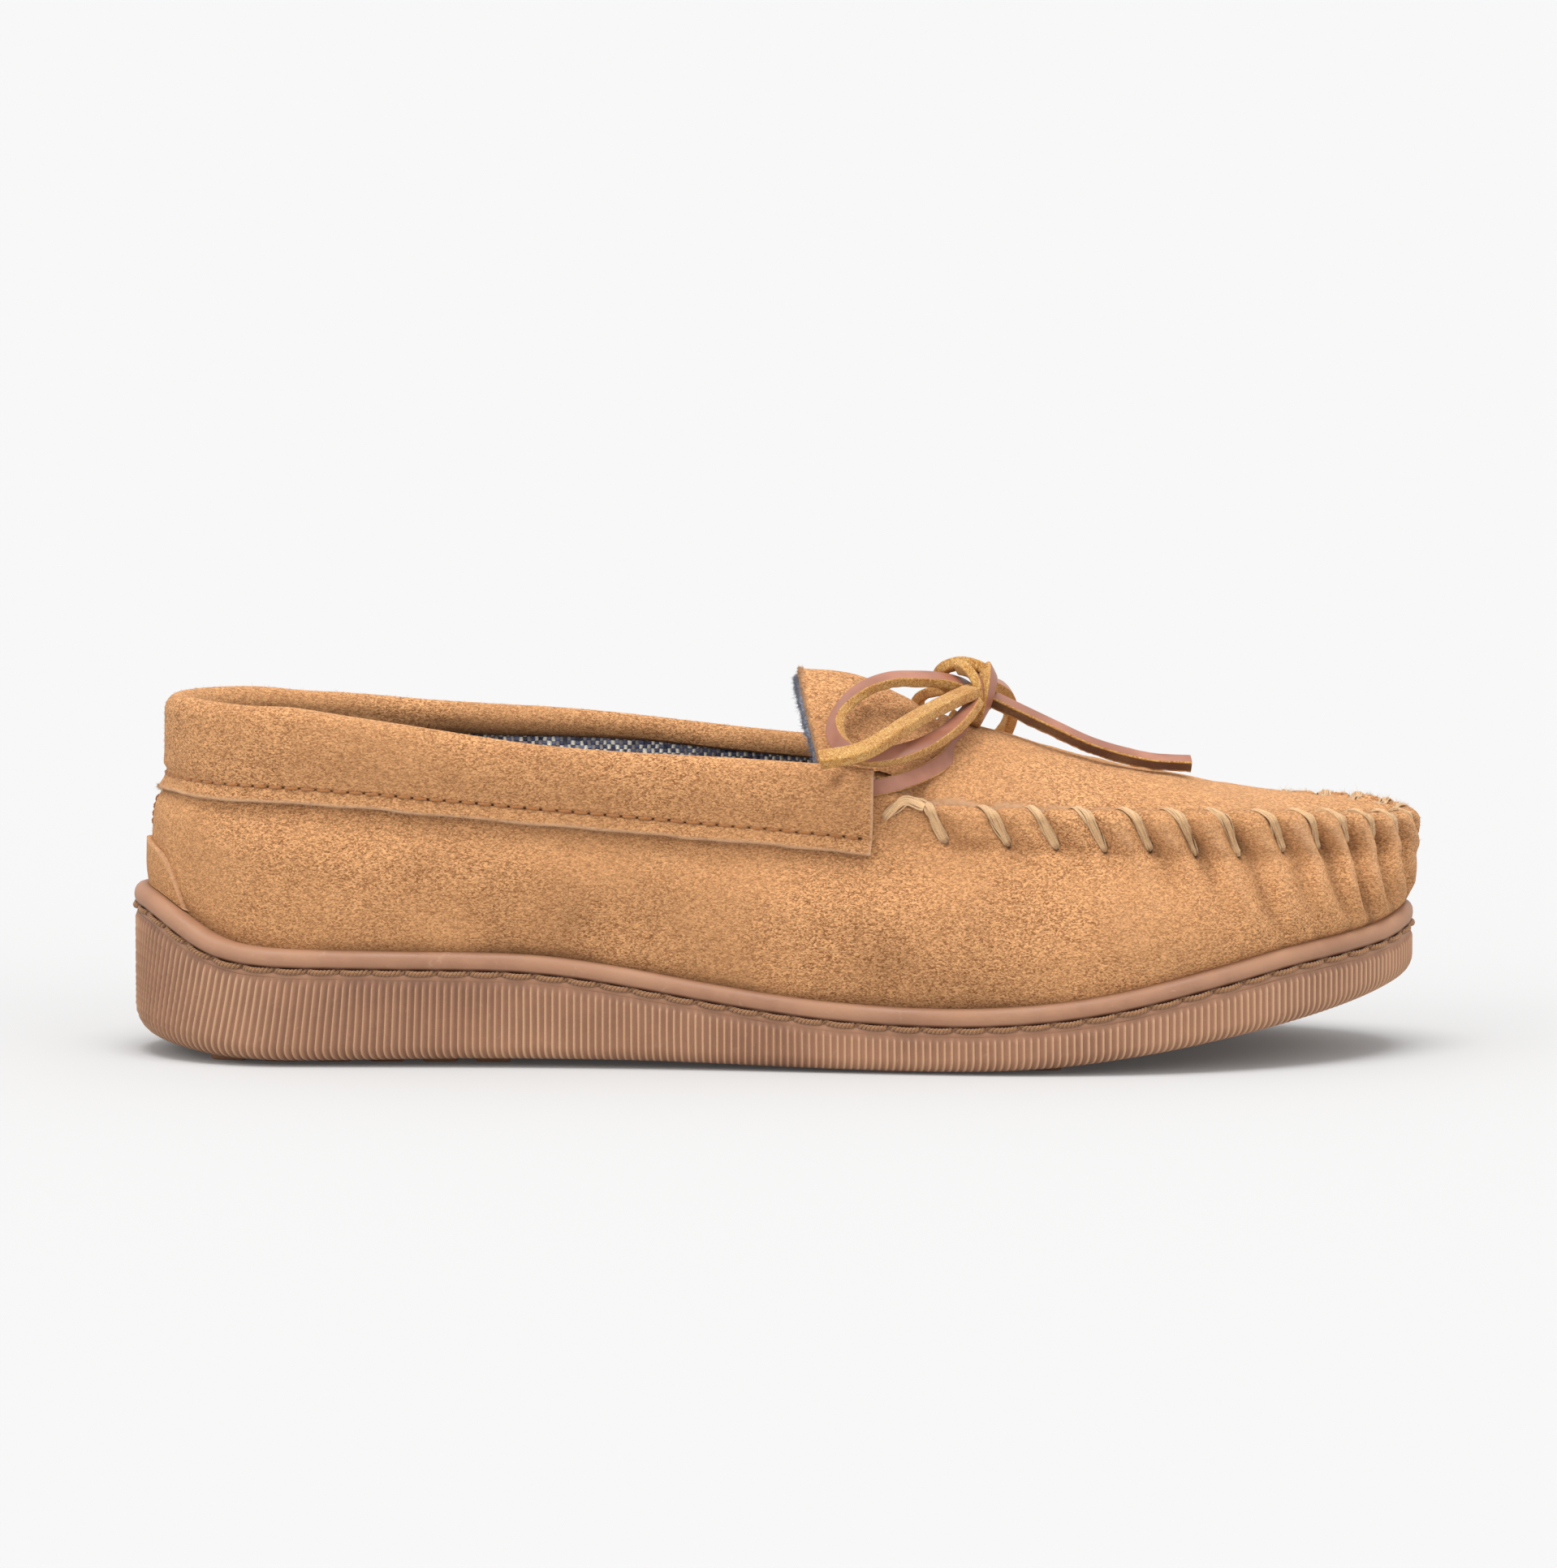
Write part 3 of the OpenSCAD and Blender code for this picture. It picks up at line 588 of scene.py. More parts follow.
def tweed_material():
    """Plain weave of dark blue and cream yarns, laid out in the uv's millimetres."""
    s = Shader("tweed")
    warp = s.noise(0.35, 2.0, 0.5, vector=s.uv())
    sep = s.node("SeparateXYZ", Vector=s.uv())
    u = s.total(s.math("DIVIDE", sep.outputs[0], YARN), (warp, 1.2))
    v = s.total(s.math("DIVIDE", sep.outputs[1], YARN), (warp, 0.8))
    iu, iv = s.math("FLOOR", u), s.math("FLOOR", v)
    over = s.math("FLOORED_MODULO", s.math("ADD", iu, iv), 2.0)
    white = s.node("TexWhiteNoise")
    white.noise_dimensions = "2D"
    s.fill(white, {"Vector": s.node("CombineXYZ", X=iu, Y=iv).outputs[0]})
    pick = white.outputs["Value"]
    fu, fv = (s.math("SINE", s.math("MULTIPLY", s.math("FRACT", w), math.pi)) for w in (u, v))
    crown = s.total((over, fu), (s.math("SUBTRACT", 1.0, over), fv))
    fluff = s.noise(2200, 3.0, 0.7)
    warp_tint = s.mix(s.ramp(pick, 0.25, 0.75), srgb(56, 62, 96), srgb(104, 112, 144))
    weft_tint = s.mix(s.ramp(pick, 0.2, 0.45), srgb(140, 132, 132), srgb(244, 236, 218))
    color = s.mix(over, warp_tint, weft_tint)
    color = s.mix(s.ramp(pick, 0.86, 0.9), color, srgb(30, 34, 58))
    # Painted shade between the yarns, where their crowns fall away.
    color = s.mix(s.ramp(crown, 0.6, 0.05, 0.0, 0.65), color, srgb(30, 30, 44))
    color = s.mix(s.ramp(fluff, 0.35, 0.65, 0.0, 0.25), color, srgb(150, 146, 152))
    relief = s.bump(s.total(crown, (fluff, 0.5)), 0.8, 0.0006)
    return s.finish(color, 0.95, Normal=relief, Specular_IOR_Level=0.1, Sheen_Weight=0.3)


def fleece_material():
    """The raised edge of the tongue's lining."""
    s = Shader("lining_edge")
    fibre = s.noise(1600, 4.0, 0.7, distortion=1.0)
    color = s.mix(s.ramp(fibre, 0.35, 0.55), srgb(78, 84, 108), srgb(142, 146, 164))
    color = s.mix(s.ramp(fibre, 0.58, 0.7), color, srgb(206, 204, 206))
    return s.finish(color, 0.97, Normal=s.bump(fibre, 1.0, 0.0009), Specular_IOR_Level=0.1, Sheen_Weight=0.5)


def hidden_material(name, dark, light, scale, rough):
    s = Shader(name)
    grain = s.noise(scale, 3.0, 0.6)
    return s.finish(s.mix(s.ramp(grain, 0.35, 0.65), dark, light), rough, Normal=s.bump(grain, 0.4, 0.0004))


SUEDE_LOOK = suede_material()
RUBBER = rubber_material()
GRAIN = grain_material()
FLESH = flesh_material()
TWEED = tweed_material()
FLEECE = fleece_material()
SOLE_THREAD = thread_material("sole_thread", srgb(96, 58, 30), srgb(188, 136, 88), 1.2)
COLLAR_THREAD = thread_material("collar_thread", srgb(152, 90, 36), srgb(190, 126, 62), 1.5)
WHIP_THREAD = thread_material("whip_thread", srgb(172, 124, 80), srgb(250, 212, 160), 1.6)
FOAM = hidden_material("foam", srgb(206, 200, 186), srgb(226, 221, 208), 700, 0.95)
BOARD = hidden_material("fibre_board", srgb(150, 124, 92), srgb(176, 148, 112), 300, 0.9)

# ---------------------------------------------------------------- whip stitches: places and puckers
# The holes in the wall that the whip stitches end in: x from the collar to the toe, and depth below the ridge.
WHIP_HOLE_X = [37.7, 51.9, 62.8, 73.9, 84.3, 95.2, 105.2, 115.7, 124.6, 131.4, 138.0]
WHIP_DROP = [8.6, 8.6, 8.8, 9.2, 8.8, 9.6, 9.6, 8.6, 8.4, 7.2, 6.4]
WHIP_LEAN = 0.5                   # how far a stitch leans to the heel for each mm down
whip_a = place(share_top(np.array(WHIP_HOLE_X) - WHIP_LEAN * np.array(WHIP_DROP)))
near_s = np.interp(whip_a, TABLE_A, TABLE_TOP)
far_s = TABLE_TOP[-1] - near_s[::-1] - WHIP_LEAN * 9
gap = far_s[0] - near_s[-1]
toe_count = round(gap / 8.0) - 1
toe_s = np.linspace(near_s[-1], far_s[0], toe_count + 2)[1:-1]
WHIP_S = np.concatenate([near_s, toe_s, far_s])
WHIP_H = np.concatenate([WHIP_DROP, np.full(toe_count, WHIP_DROP[-1]), WHIP_DROP[::-1]])
WHIPS = len(WHIP_S)
rng = np.random.default_rng(11)
WHIP_STRENGTH = 0.7 + 0.6 * rng.random(WHIPS + 2)
WHIP_LENGTH = 0.65 + 0.7 * rng.random(WHIPS + 2)
ROLL = 2.6                        # radius of the rolled seam ridge


def top_s(a):
    return np.interp(wrap(a), TABLE_A, TABLE_TOP)


def phase_at(s):
    """Stitch number at a distance along the top edge; whole numbers lie on stitches."""
    return np.interp(s, np.concatenate([[WHIP_S[0] - 22], WHIP_S, [WHIP_S[-1] + 22]]), np.arange(-1, WHIPS + 1))


def pucker(a, h):
    """How far the wall stands out (mm, negative is pulled in) at place a, h mm below the seam ridge."""
    t = along(a)
    hh = np.maximum(h, 0)
    ph = phase_at(top_s(a) - WHIP_LEAN * hh)
    d = ph - np.round(ph)
    toe = smooth(t, 0.66, 0.88)
    tip = smooth(t, 0.9, 1.0)
    bound = np.exp(-(hh / 9.2) ** 8)                          # fades out below the stitches' ends
    groove = np.exp(-np.abs(d / 0.17) ** 2.2) * bound * (1.15 + 0.25 * toe)
    # Below its stitch a crease leans a little more, wanders and ends at a length of its own.
    lean_on = (WHIP_LEAN + 0.14) * (hh - 0.45 * tip * np.maximum(hh - 7, 0))
    ph2 = phase_at(top_s(a) - lean_on + 0.9 * noise(join(top_s(a), hh, 0), 11, 71))
    d2 = ph2 - np.round(ph2)
    k2 = np.clip(np.round(ph2), 0, WHIPS - 1).astype(int)
    length = (5.5 + 14 * toe + 10 * tip) * WHIP_LENGTH[k2]
    tail = bell(np.maximum(hh - 6, 0), length) * smooth(hh, 3, 9)
    crease = np.exp(-np.abs(d2 / 0.24) ** 1.6) * tail * (0.9 + 1.45 * toe) * WHIP_STRENGTH[k2]
    puff = (np.sin(np.pi * d) ** 2 - 0.4) * (1.35 + 0.25 * toe) * bound * smooth(hh, 0.3, 3.5)
    tuck = 0.85 * bell(hh - 9.6, 1.7) * (1 - 0.7 * toe)
    fold = (np.sin(np.pi * d2) ** 2 - 0.45) * (0.3 + 1.2 * toe) * tail
    belly = 0.9 * tip * bell(hh - 15, 8)
    return (puff + fold + belly - groove - crease - tuck - 0.35 * tip) * smooth(t, 0.577, 0.6)


def wall_point(a, v, off=0.0):
    """A point of the wall, off mm out. v runs from 0 at the bead to 1, then over the rolled ridge to 1.9."""
    a, v = np.broadcast_arrays(np.asarray(a, float), np.asarray(v, float))
    t = along(a)
    roll = np.where(t < COLLAR_END, 0.8, ROLL)
    phi = np.maximum(v - 1, 0) * np.pi
    vv = np.minimum(v, 1)
    foot, top = wall_foot(t), wall_top(a) - roll
    z = np.where(vv < 0, foot + vv * 6, lerp(foot, top, np.maximum(vv, 0)))
    xy = wall_plan(a, np.clip(vv, 0, 1))
    n = inward(a, np.clip(vv, 0, 1))
    z = z + roll * np.sin(phi)
    p = raised(xy + n * (roll * (1 - np.cos(phi)))[..., None], z)
    d = off + (pucker(a, wall_top(a) - z) + 0.8 * unevenness(p)) * smooth(vv, 0.02, 0.25)
    return p + raised(-n * np.cos(phi)[..., None], np.sin(phi)) * d[..., None]


def ridge_v(a, h):
    """The v that lies h mm below the seam ridge."""
    return 1 - np.maximum(h - ROLL, 0) / (wall_top(a) - ROLL - wall_foot(along(a)))


# ---------------------------------------------------------------- rubber cup sole
def groove_z(t):
    return wall_foot(t) - BEAD


def bottom_z(t):
    return curve(SOLE_BOTTOM, t)


def corner(t):
    return curve([[0, 7.8], [0.04, 6], [0.12, 3.5], [0.8, 3.1], [0.92, 4.2], [1, 5.2]], t)


RIB_PITCH = 1.62
BAND_IN = 0.35                    # how far the band between the ribs lies inside the sole's outline


def build_sole():
    part = Part()
    ribbed_wall(part)
    groove_and_bead(part)
    # The underside closes towards the middle line.
    a = all_round(400)[0]
    t = along(a)
    edge = outline(a, corner(t) + BAND_IN)
    mid = join(edge[:, 0] * 0.96, curve(CENTRE, t))
    under = np.stack([raised(lerp(edge, mid, f), bottom_z(t)) for f in np.linspace(0, 1, 9) ** 0.8], 1)
    part.grid(under, tone=0.1 * noise(under, 12, 4), close_u=True)
    lugs(part)
    part.build("rubber_cup_sole", [RUBBER], "shoe", "outsole")


def ribbed_wall(part):
    """Raised crests, one a pitch, that lean near the heel and end in a rounded top below the groove."""
    ribs = round(AROUND / RIB_PITCH)
    a, s = all_round(8 * ribs)
    t = along(a)
    r, b = corner(t)[:, None], bottom_z(t)[:, None]
    g = groove_z(t)[:, None]
    round_corner = np.linspace(0, np.pi / 2, 8)
    up_wall = np.linspace(0, 1, 16)[1:]
    z = np.concatenate([b + r * (1 - np.cos(round_corner)), lerp(b + r, g - 1.6, up_wall)], 1)
    ins = np.pad(r * (1 - np.sin(round_corner)), ((0, 0), (0, len(up_wall))))
    slant = 0.22 * bell(t, 0.16)[:, None] * (g - z)
    ph = (s[:, None] / AROUND * ribs) - side(a)[:, None] * slant / RIB_PITCH
    wobble = 0.05 * noise(join(s[:, None], z, 0), 9, 5)
    crest = (0.5 + 0.5 * np.cos(2 * np.pi * (ph + wobble))) ** 2.2
    top_fade = smooth(g - z, 1.6, 3.2)
    low_fade = smooth(z - b, -0.4, 0.8)
    rise = 0.55 * crest * top_fade * low_fade
    p = raised(outline(a[:, None], ins - rise + BAND_IN), z)
    # Painted highlight on the rib crests and painted shade between them, over random patches.
    tone = (crest - 0.14 * (1 - crest)) * top_fade + 0.3 * noise(p, 18, 6) - 0.12
    part.grid(p, join(s[:, None], z), tone, close_u=True)


def groove_and_bead(part):
    """Smooth band, stitch groove, bead and the inside of the lip: how far in and how far above the groove."""
    profile = [[0.35, -1.6], [0.3, -1.45], [0.25, -0.95], [0.32, -0.62], [0.62, -0.4], [0.8, -0.05],
               [0.85, 0.3], [0.5, 0.55], [0.05, 0.8], [-0.25, 1.5], [-0.35, 2.2], [-0.25, 3.1], [0.15, 3.9],
               [0.8, 4.5], [1.7, 4.8], [2.8, 4.75], [3.7, 4.4], [4.1, 3.9], [4.15, 1.0], [4.15, -4.0]]
    ins, up = np.array(profile).T
    a, s = all_round(900)
    uneven = 0.1 * noise(join(s[:, None], 1.5 * np.arange(len(profile)), 0), 7, 8)
    p = raised(outline(a[:, None], ins + uneven), groove_z(along(a))[:, None] + up)
    band, groove_edge, groove, bead = slice(0, 3), slice(4, 6), slice(6, 9), slice(9, 15)
    tone = 0.16 * noise(p, 11, 9)
    # Painted shade in the stitch groove and on its edges; the band and the bead are a little lighter.
    for cols, shade in ((band, 0.12), (groove_edge, -0.25), (groove, -1.0), (bead, 0.16)):
        tone[:, cols] += shade
    part.grid(p, join(s[:, None], up), tone, close_u=True)


def lugs(part):
    """Tread bars under the heel and the ball, with rounded edges."""
    half, pitch, count = 4, 12, 6
    steps = np.linspace(0, 1, 6)[:-1, None]
    for x in [start + pitch * k for start in (HEEL_X + 22, 0.0) for k in range(count)]:
        # The bar's corners in turn: x, y and the two directions into the bar.
        corners = []
        for ox, side_in in ((-half, 1), (half, 1), (half, -1), (-half, -1)):
            q = place(share_sole(x + ox))
            y = outline(q if side_in > 0 else 1 - q, 10.5)[1]
            corners.append([x + ox, y, -np.sign(ox), side_in])
        corners = np.array(corners)
        rings = []
        for inset, z in ((0.0, 3.2), (0.0, 0.7), (0.25, 0.2), (0.8, 0.0), (3.0, 0.0)):
            pts = raised(corners[:, :2] + inset * corners[:, 2:], z)
            rings.append(np.concatenate([lerp(pts[i - 1], pts[i], steps) for i in (1, 2, 3, 0)]))
        part.grid(np.stack(rings, 1), close_u=True)
        part.cap(rings[-1], flip=True)


# ---------------------------------------------------------------- suede wall and its heel tab
def build_wall():
    part = Part()
    a, s = all_round(1500)
    stretches = ((-0.8, 0, 2), (0, 0.12, 6), (0.12, 0.72, 25), (0.72, 1, 21), (1, 1.95, 11))
    v = np.concatenate([np.linspace(lo, hi, n + 1)[:-1] for lo, hi, n in stretches] + [[1.95]])
    p = wall_point(a[:, None], v[None])
    t = along(a)
    h = wall_top(a)[:, None] - p[..., 2]
    # Pits where the whip thread enters the wall: pressed in, with painted shade in them.
    tone = 0.22 * noise(p, 26, 12) + 0.1 * noise(p, 9, 13)
    ph = phase_at(top_s(a)[:, None] - WHIP_LEAN * h)
    k = np.clip(np.round(ph), 0, WHIPS - 1).astype(int)
    spacing = np.gradient(WHIP_S)[k]
    ds = (ph - np.round(ph)) * spacing
    pit = bell(ds, 0.5) * bell(h - WHIP_H[k] - 0.3, 0.5) * smooth(t, 0.585, 0.6)[:, None]
    pit = np.where(v[None] <= 1, pit, 0)
    tone = tone - pit
    n = inward(a[:, None], np.clip(v, 0, 1)[None])
    p[..., :2] += n * (pit * 1.1)[..., None]
    # Painted shade in the creases and painted highlight on the puffs between them, following the puckers.
    crease_shading = pucker(np.broadcast_to(a[:, None], h.shape), h) * np.where(v[None] <= 1, 1, 0.3)
    tone = tone + np.clip(crease_shading * lerp(0.08, 0.2, smooth(t, 0.68, 0.8))[:, None], -0.45, 0.25)
    # Painted shade in a thin band just above the bead and in a wider band low on the wall, weaker at the toe;
    # the mid flank below the collar is also darker.
    above_bead = np.maximum(p[..., 2] - wall_foot(t)[:, None], 0)
    low, low_wide = bell(above_bead, 1.6), bell(above_bead, 15)
    toe = smooth(t, 0.62, 0.8)[:, None]
    flank = bell(t - 0.44, 0.16)[:, None] * smooth(h, 8, 22)
    tone = tone - (0.25 * low + 0.14 * low_wide) * (1 - 0.85 * toe) - 0.15 * flank
    part.grid(p, join(s[:, None], p[..., 2]), tone, close_u=True)
    roots, out = sprinkle(p[:, 8:], 9000, 201)
    fuzz(part, roots, out, 0.42, 0.035, 202)
    ridge = p[t > 0.57, -9:]
    roots, out = sprinkle(ridge, 2600, 203)
    fuzz(part, roots, out, 0.8, 0.04, 204, tone=0.6)
    part.build("suede_side_wall", [SUEDE_LOOK], "shoe", "side_wall")


def build_heel_tab():
    part = Part()
    f = np.linspace(-1, 1, 121)
    a = f * place(0.032)
    t = along(a)
    arch = [[0, 48.7], [0.3, 48.2], [0.6, 46.6], [0.72, 44.6], [0.84, 40.8], [0.93, 36.2], [1.0, 30.2]]
    top = curve(arch, np.abs(f))
    foot = wall_foot(t) - 0.6
    top = np.maximum(top, foot + 0.3)
    wall_height = wall_top(a) - 0.8 - wall_foot(t)
    v_top, v_foot = (top - wall_foot(t)) / wall_height, (foot - wall_foot(t)) / wall_height
    # Up the outer face, over the cut edge and down behind it: share of the height and distance off the wall.
    outer = [(share, 1.25) for share in np.linspace(0, 1, 22)]
    back = [(1.0, 1.1), (1.006, 0.7), (1.0, 0.1), (0.97, -0.2), (0.5, -0.4), (0, -0.4)]
    thin = smooth(1.0 - np.abs(f), -0.02, 0.05)
    p = np.stack([wall_point(a, np.maximum(lerp(v_foot, v_top, share), 0.0), off * thin)
                  for share, off in outer + back], 1)
    p[..., 2] = np.maximum(p[..., 2], foot[:, None])
    tone = 0.2 * noise(p, 20, 14)
    tone[:, len(outer) - 2:len(outer) + 3] += 0.45
    part.grid(p, tone=tone)
    part.build("heel_tab_suede", [SUEDE_LOOK], "shoe", "heel_tab")


# ---------------------------------------------------------------- collar
COLLAR_REACH = float(place(COLLAR_END))
STITCH_UP = 3.5                   # height of the stitch row above the collar's cut edge
STITCH_PITCH = 3.7
ROW_END = 3                       # gap between the stitch row's end and the collar's cut end
COLLAR_BACK = 6                   # points of the section that lie against the wall
COLLAR_OUTER = slice(12, 62)      # its points from the stitch row over the crown to the inner lip
COLLAR_SHADE = slice(52, 61)      # its points that the inner lip shades
THONG_EXIT_X, THONG_EXIT_Z = 13.8, 65.2


def collar_foot(a):
    t = along(a)
    return curve(RIM, t) - lerp(21.6, 19.3, smooth(t, 0, 0.3))


def wall_at_height(a, z, off):
    """The smooth wall's point at height z, moved out by off; above the wall's top it goes straight up."""
    foot = wall_foot(along(a))
    v = np.clip((z - foot) / (wall_top(a) - foot), 0, 1)
    return raised(wall_plan(a, v) - inward(a, v) * np.asarray(off)[..., None], z)


def build_collar():
    """A folded band whose section runs from the cut edge up the outer face, over the crown and down inside."""
    part = Part()
    a, s = evenly(1000, -COLLAR_REACH, COLLAR_REACH)
    t = along(a)
    rim, foot = rim_at(a), collar_foot(a)
    plump_share = 1 - bell(t, 0.05)
    wave = noise(join(s, 0, 0), 16, 21)
    edge_wave = 0.35 * wave + 0.18 * noise(join(s, 50, 0), 5, 22)
    crown = 3.7

    # Each point of the section: its height and its distance off the wall.
    section = []
    cut_edge = [(0.0, 1.0), (0.05, 1.75), (0.35, 2.0), (1.0, 1.95), (2.2, 1.7)]
    stitch_row = [(STITCH_UP + d, 1.87 - 0.25 * math.exp(-(d / 1.6) ** 2))
                  for d in (-0.9, -0.6, -0.35, -0.1, 0.15, 0.4, 0.65, 1.0)]
    for up, off in cut_edge + stitch_row:
        section.append((foot + up + edge_wave * math.exp(-up / 4), off * lerp(1, plump_share, 0.4)))
    for q in np.linspace(0, 1, 26)[1:]:
        plump = 1.9 + 1.3 * math.sin(0.75 * math.pi * q) * plump_share + 0.25 * wave * q
        section.append((foot + lerp(5.2, rim - foot - crown, q), plump))
    crown_off = section[-1][1]
    for r in np.radians(np.linspace(0, 200, 19)[1:]):
        squeeze = crown + 0.35 * wave * math.sin(r)
        section.append((rim - crown + crown * math.sin(r), crown_off - squeeze * (1 - math.cos(r))))
    inner_off = section[-1][1]
    shallow = 1 - 0.85 * smooth(t, 0.22, 0.42)
    for k, up in enumerate((-0.5, -1.2, -1.9)):
        section.append((rim - crown - 1.2 + up * shallow, inner_off + 0.25 * k))
    lip_z, lip_off = section[-1]
    section += [(lip_z - 0.35, lip_off + 0.6), (lip_z - 0.2, lip_off + 1.3), (rim - crown - 1.0, lip_off + 1.7),
                (rim - 2.3, -1.0), (rim - 2.0, 0.2), (rim - 6.0, 0.45), (foot + 6, 0.45), (foot + 0.05, 0.45)]
    z, off = (np.stack([np.broadcast_to(point[k], t.shape) for point in section], 1) for k in (0, 1))
    p = wall_at_height(a[:, None], z, off)

    # Pits along the stitch row, pressed in and painted with shade.
    run = s[-1] - s[0] - 2 * ROW_END
    count = round(run / STITCH_PITCH)
    stitch = (s - s[0] - ROW_END) / run * count
    near_pit = np.exp(-(np.abs(stitch - np.round(stitch)) * STITCH_PITCH / 0.72) ** 4)
    in_row = np.zeros(len(section))
    in_row[len(cut_edge):len(cut_edge + stitch_row)] = [0.0, 0.1, 0.3, 0.95, 0.75, 0.2, 0.05, 0.0]
    pit = near_pit[:, None] * in_row
    tone = 0.22 * noise(p, 24, 23) - 0.85 * pit
    inside = inward(a, 0.8)[:, None]
    p[..., :2] += inside * (0.7 * pit + 0.2 * in_row)[..., None]
    # The cut edge and the cut ends are paler, the inner lip lies in shade.
    tone[:, :3] += [0.75, 0.95, 0.75]
    tone[:, COLLAR_SHADE] -= np.linspace(0.1, 0.75, 9)
    tone += 0.8 * bell(np.minimum(s - s[0], s[-1] - s), 0.7)[:, None]
    # The crease where the thong leaves the collar on the outer side, pressed in and painted with shade.
    dx, dz = p[..., 0] - THONG_EXIT_X, p[..., 2] - THONG_EXIT_Z
    dent = bell(0.78 * dx - 0.63 * dz, 1.5) * bell(0.63 * dx + 0.78 * dz, 3.4) * (p[..., 1] < 0)
    tone -= 0.45 * dent
    p[..., :2] += inside * (1.1 * dent)[..., None]
    p[:, :-COLLAR_BACK, :2] -= inside * (0.55 * unevenness(p[:, :-COLLAR_BACK]))[..., None]
    part.grid(p, tone=tone, close_v=True)

    roots, out = sprinkle(p[:, COLLAR_OUTER], 6000, 211)
    fuzz(part, roots, out, 0.42, 0.035, 212)
    roots, out = sprinkle(p[:, :len(cut_edge) - 1], 3500, 213)
    fuzz(part, roots, out + [0, 0, -0.5], 0.6, 0.04, 214, tone=0.8)
    collar_end_cap(part, p[0], True)
    collar_end_cap(part, p[-1], False)
    part.build("suede_collar", [SUEDE_LOOK], "shoe", "collar")
    build_collar_stitches(a, s, foot, count)


def collar_end_cap(part, section, flip):
    """Closes a cut end between the section's outer line of points and its back one."""
    q = np.linspace(0, 1, 60)
    outer, back = section[:-COLLAR_BACK], section[-COLLAR_BACK:][::-1]
    lines = [resample(line, lengths(line) / lengths(line)[-1], q) for line in (outer, back)]
    part.grid(np.stack(lines, 1), tone=0.9, flip=flip)


def build_collar_stitches(a, s, foot, count):
    part = Part()
    spot = np.linspace(s[0] + ROW_END, s[-1] - ROW_END, count + 1)
    arch = np.sin(np.linspace(0, np.pi, 7))
    for start, end in zip(spot[:-1] + 0.45, spot[1:] - 0.45):
        q = np.linspace(start, end, 7)
        at = np.interp(q, s, a)
        off = (1.2 + 0.62 * arch) * (1 - 0.45 * bell(along(at), 0.05))
        tube(part, wall_at_height(at, np.interp(q, s, foot) + STITCH_UP, off), 0.26 + 0.08 * arch)
    part.build("collar_thread_row", [COLLAR_THREAD], "shoe", "collar_stitching")


# ---------------------------------------------------------------- lining, footbed and back seam
def build_lining():
    """The cloth's two faces, from the footbed up to the collar and, in front, to the seam ridge."""
    part = Part()
    a, s = all_round(500)
    t = along(a)
    foot = wall_foot(t)[:, None]
    v = np.linspace(0.02, 1.0, 30)
    top = wall_top(a) + lerp(2.6, -5.0, smooth(t, 0.53, 0.57))       # under the collar's lip, or below the ridge
    z = lerp(curve(FOOTBED, t)[:, None] - 1.0, top[:, None], v[None])
    vv = np.clip((z - foot) / (wall_top(a)[:, None] - foot), 0, 1)
    rear_depth = lerp(4.5, 2.5, smooth(z - rim_at(a)[:, None], -11.5, -7.5))
    depth = lerp(rear_depth, 6.6, smooth(t, 0.57, 0.62)[:, None])
    depth = depth + 1.4 * bell(z - foot, 8.0)
    inside = inward(a[:, None], vv)
    p = raised(wall_plan(a[:, None], vv) + inside * depth[..., None], z)
    p[..., :2] += 0.25 * noise(p, 15, 31)[..., None]
    back = raised(p[..., :2] - 0.9 * inside, z)
    uv = join(s[:, None], z)
    part.grid(p, uv, close_u=True, flip=True)
    part.grid(back, uv, close_u=True)
    part.build("tweed_quarter_lining", [TWEED], "shoe", "quarter_lining")


def build_footbed():
    part = Part()
    a = all_round(360)[0]
    edge = outline(a, 7.0)
    mid = join(edge[:, 0] * 0.9, curve(CENTRE, along(a)))
    rows = []
    for f in np.linspace(0, 1, 16):
        xy = lerp(edge, mid, f)
        rows.append(raised(xy, curve(FOOTBED, share_sole(xy[:, 0])) + 1.4 * (1 - f) ** 3 - 0.4 * f))
    p = np.stack(rows, 1)
    part.grid(p, p[..., :2], close_u=True)
    part.build("sock_cover", [TWEED], "shoe", "sock_liner")


def build_back_seam():
    part = Part()
    path = wall_at_height(np.zeros(29), np.linspace(51.5, 58.5, 29), np.full(29, 0.25))
    dip = 0.55 - 0.35 * np.sin(np.linspace(0, np.pi, 7))
    for k in range(0, 28, 7):
        stitch = path[k:k + 7].copy()
        stitch[:, 0] += dip
        tube(part, stitch, 0.24)
    part.build("back_seam_thread", [COLLAR_THREAD], "shoe", "back_seam_stitching")


# ---------------------------------------------------------------- plug
PLUG_REAR_X = 36.6
PLUG_EAR = 13.0                   # how much farther back the plug's rear corners reach


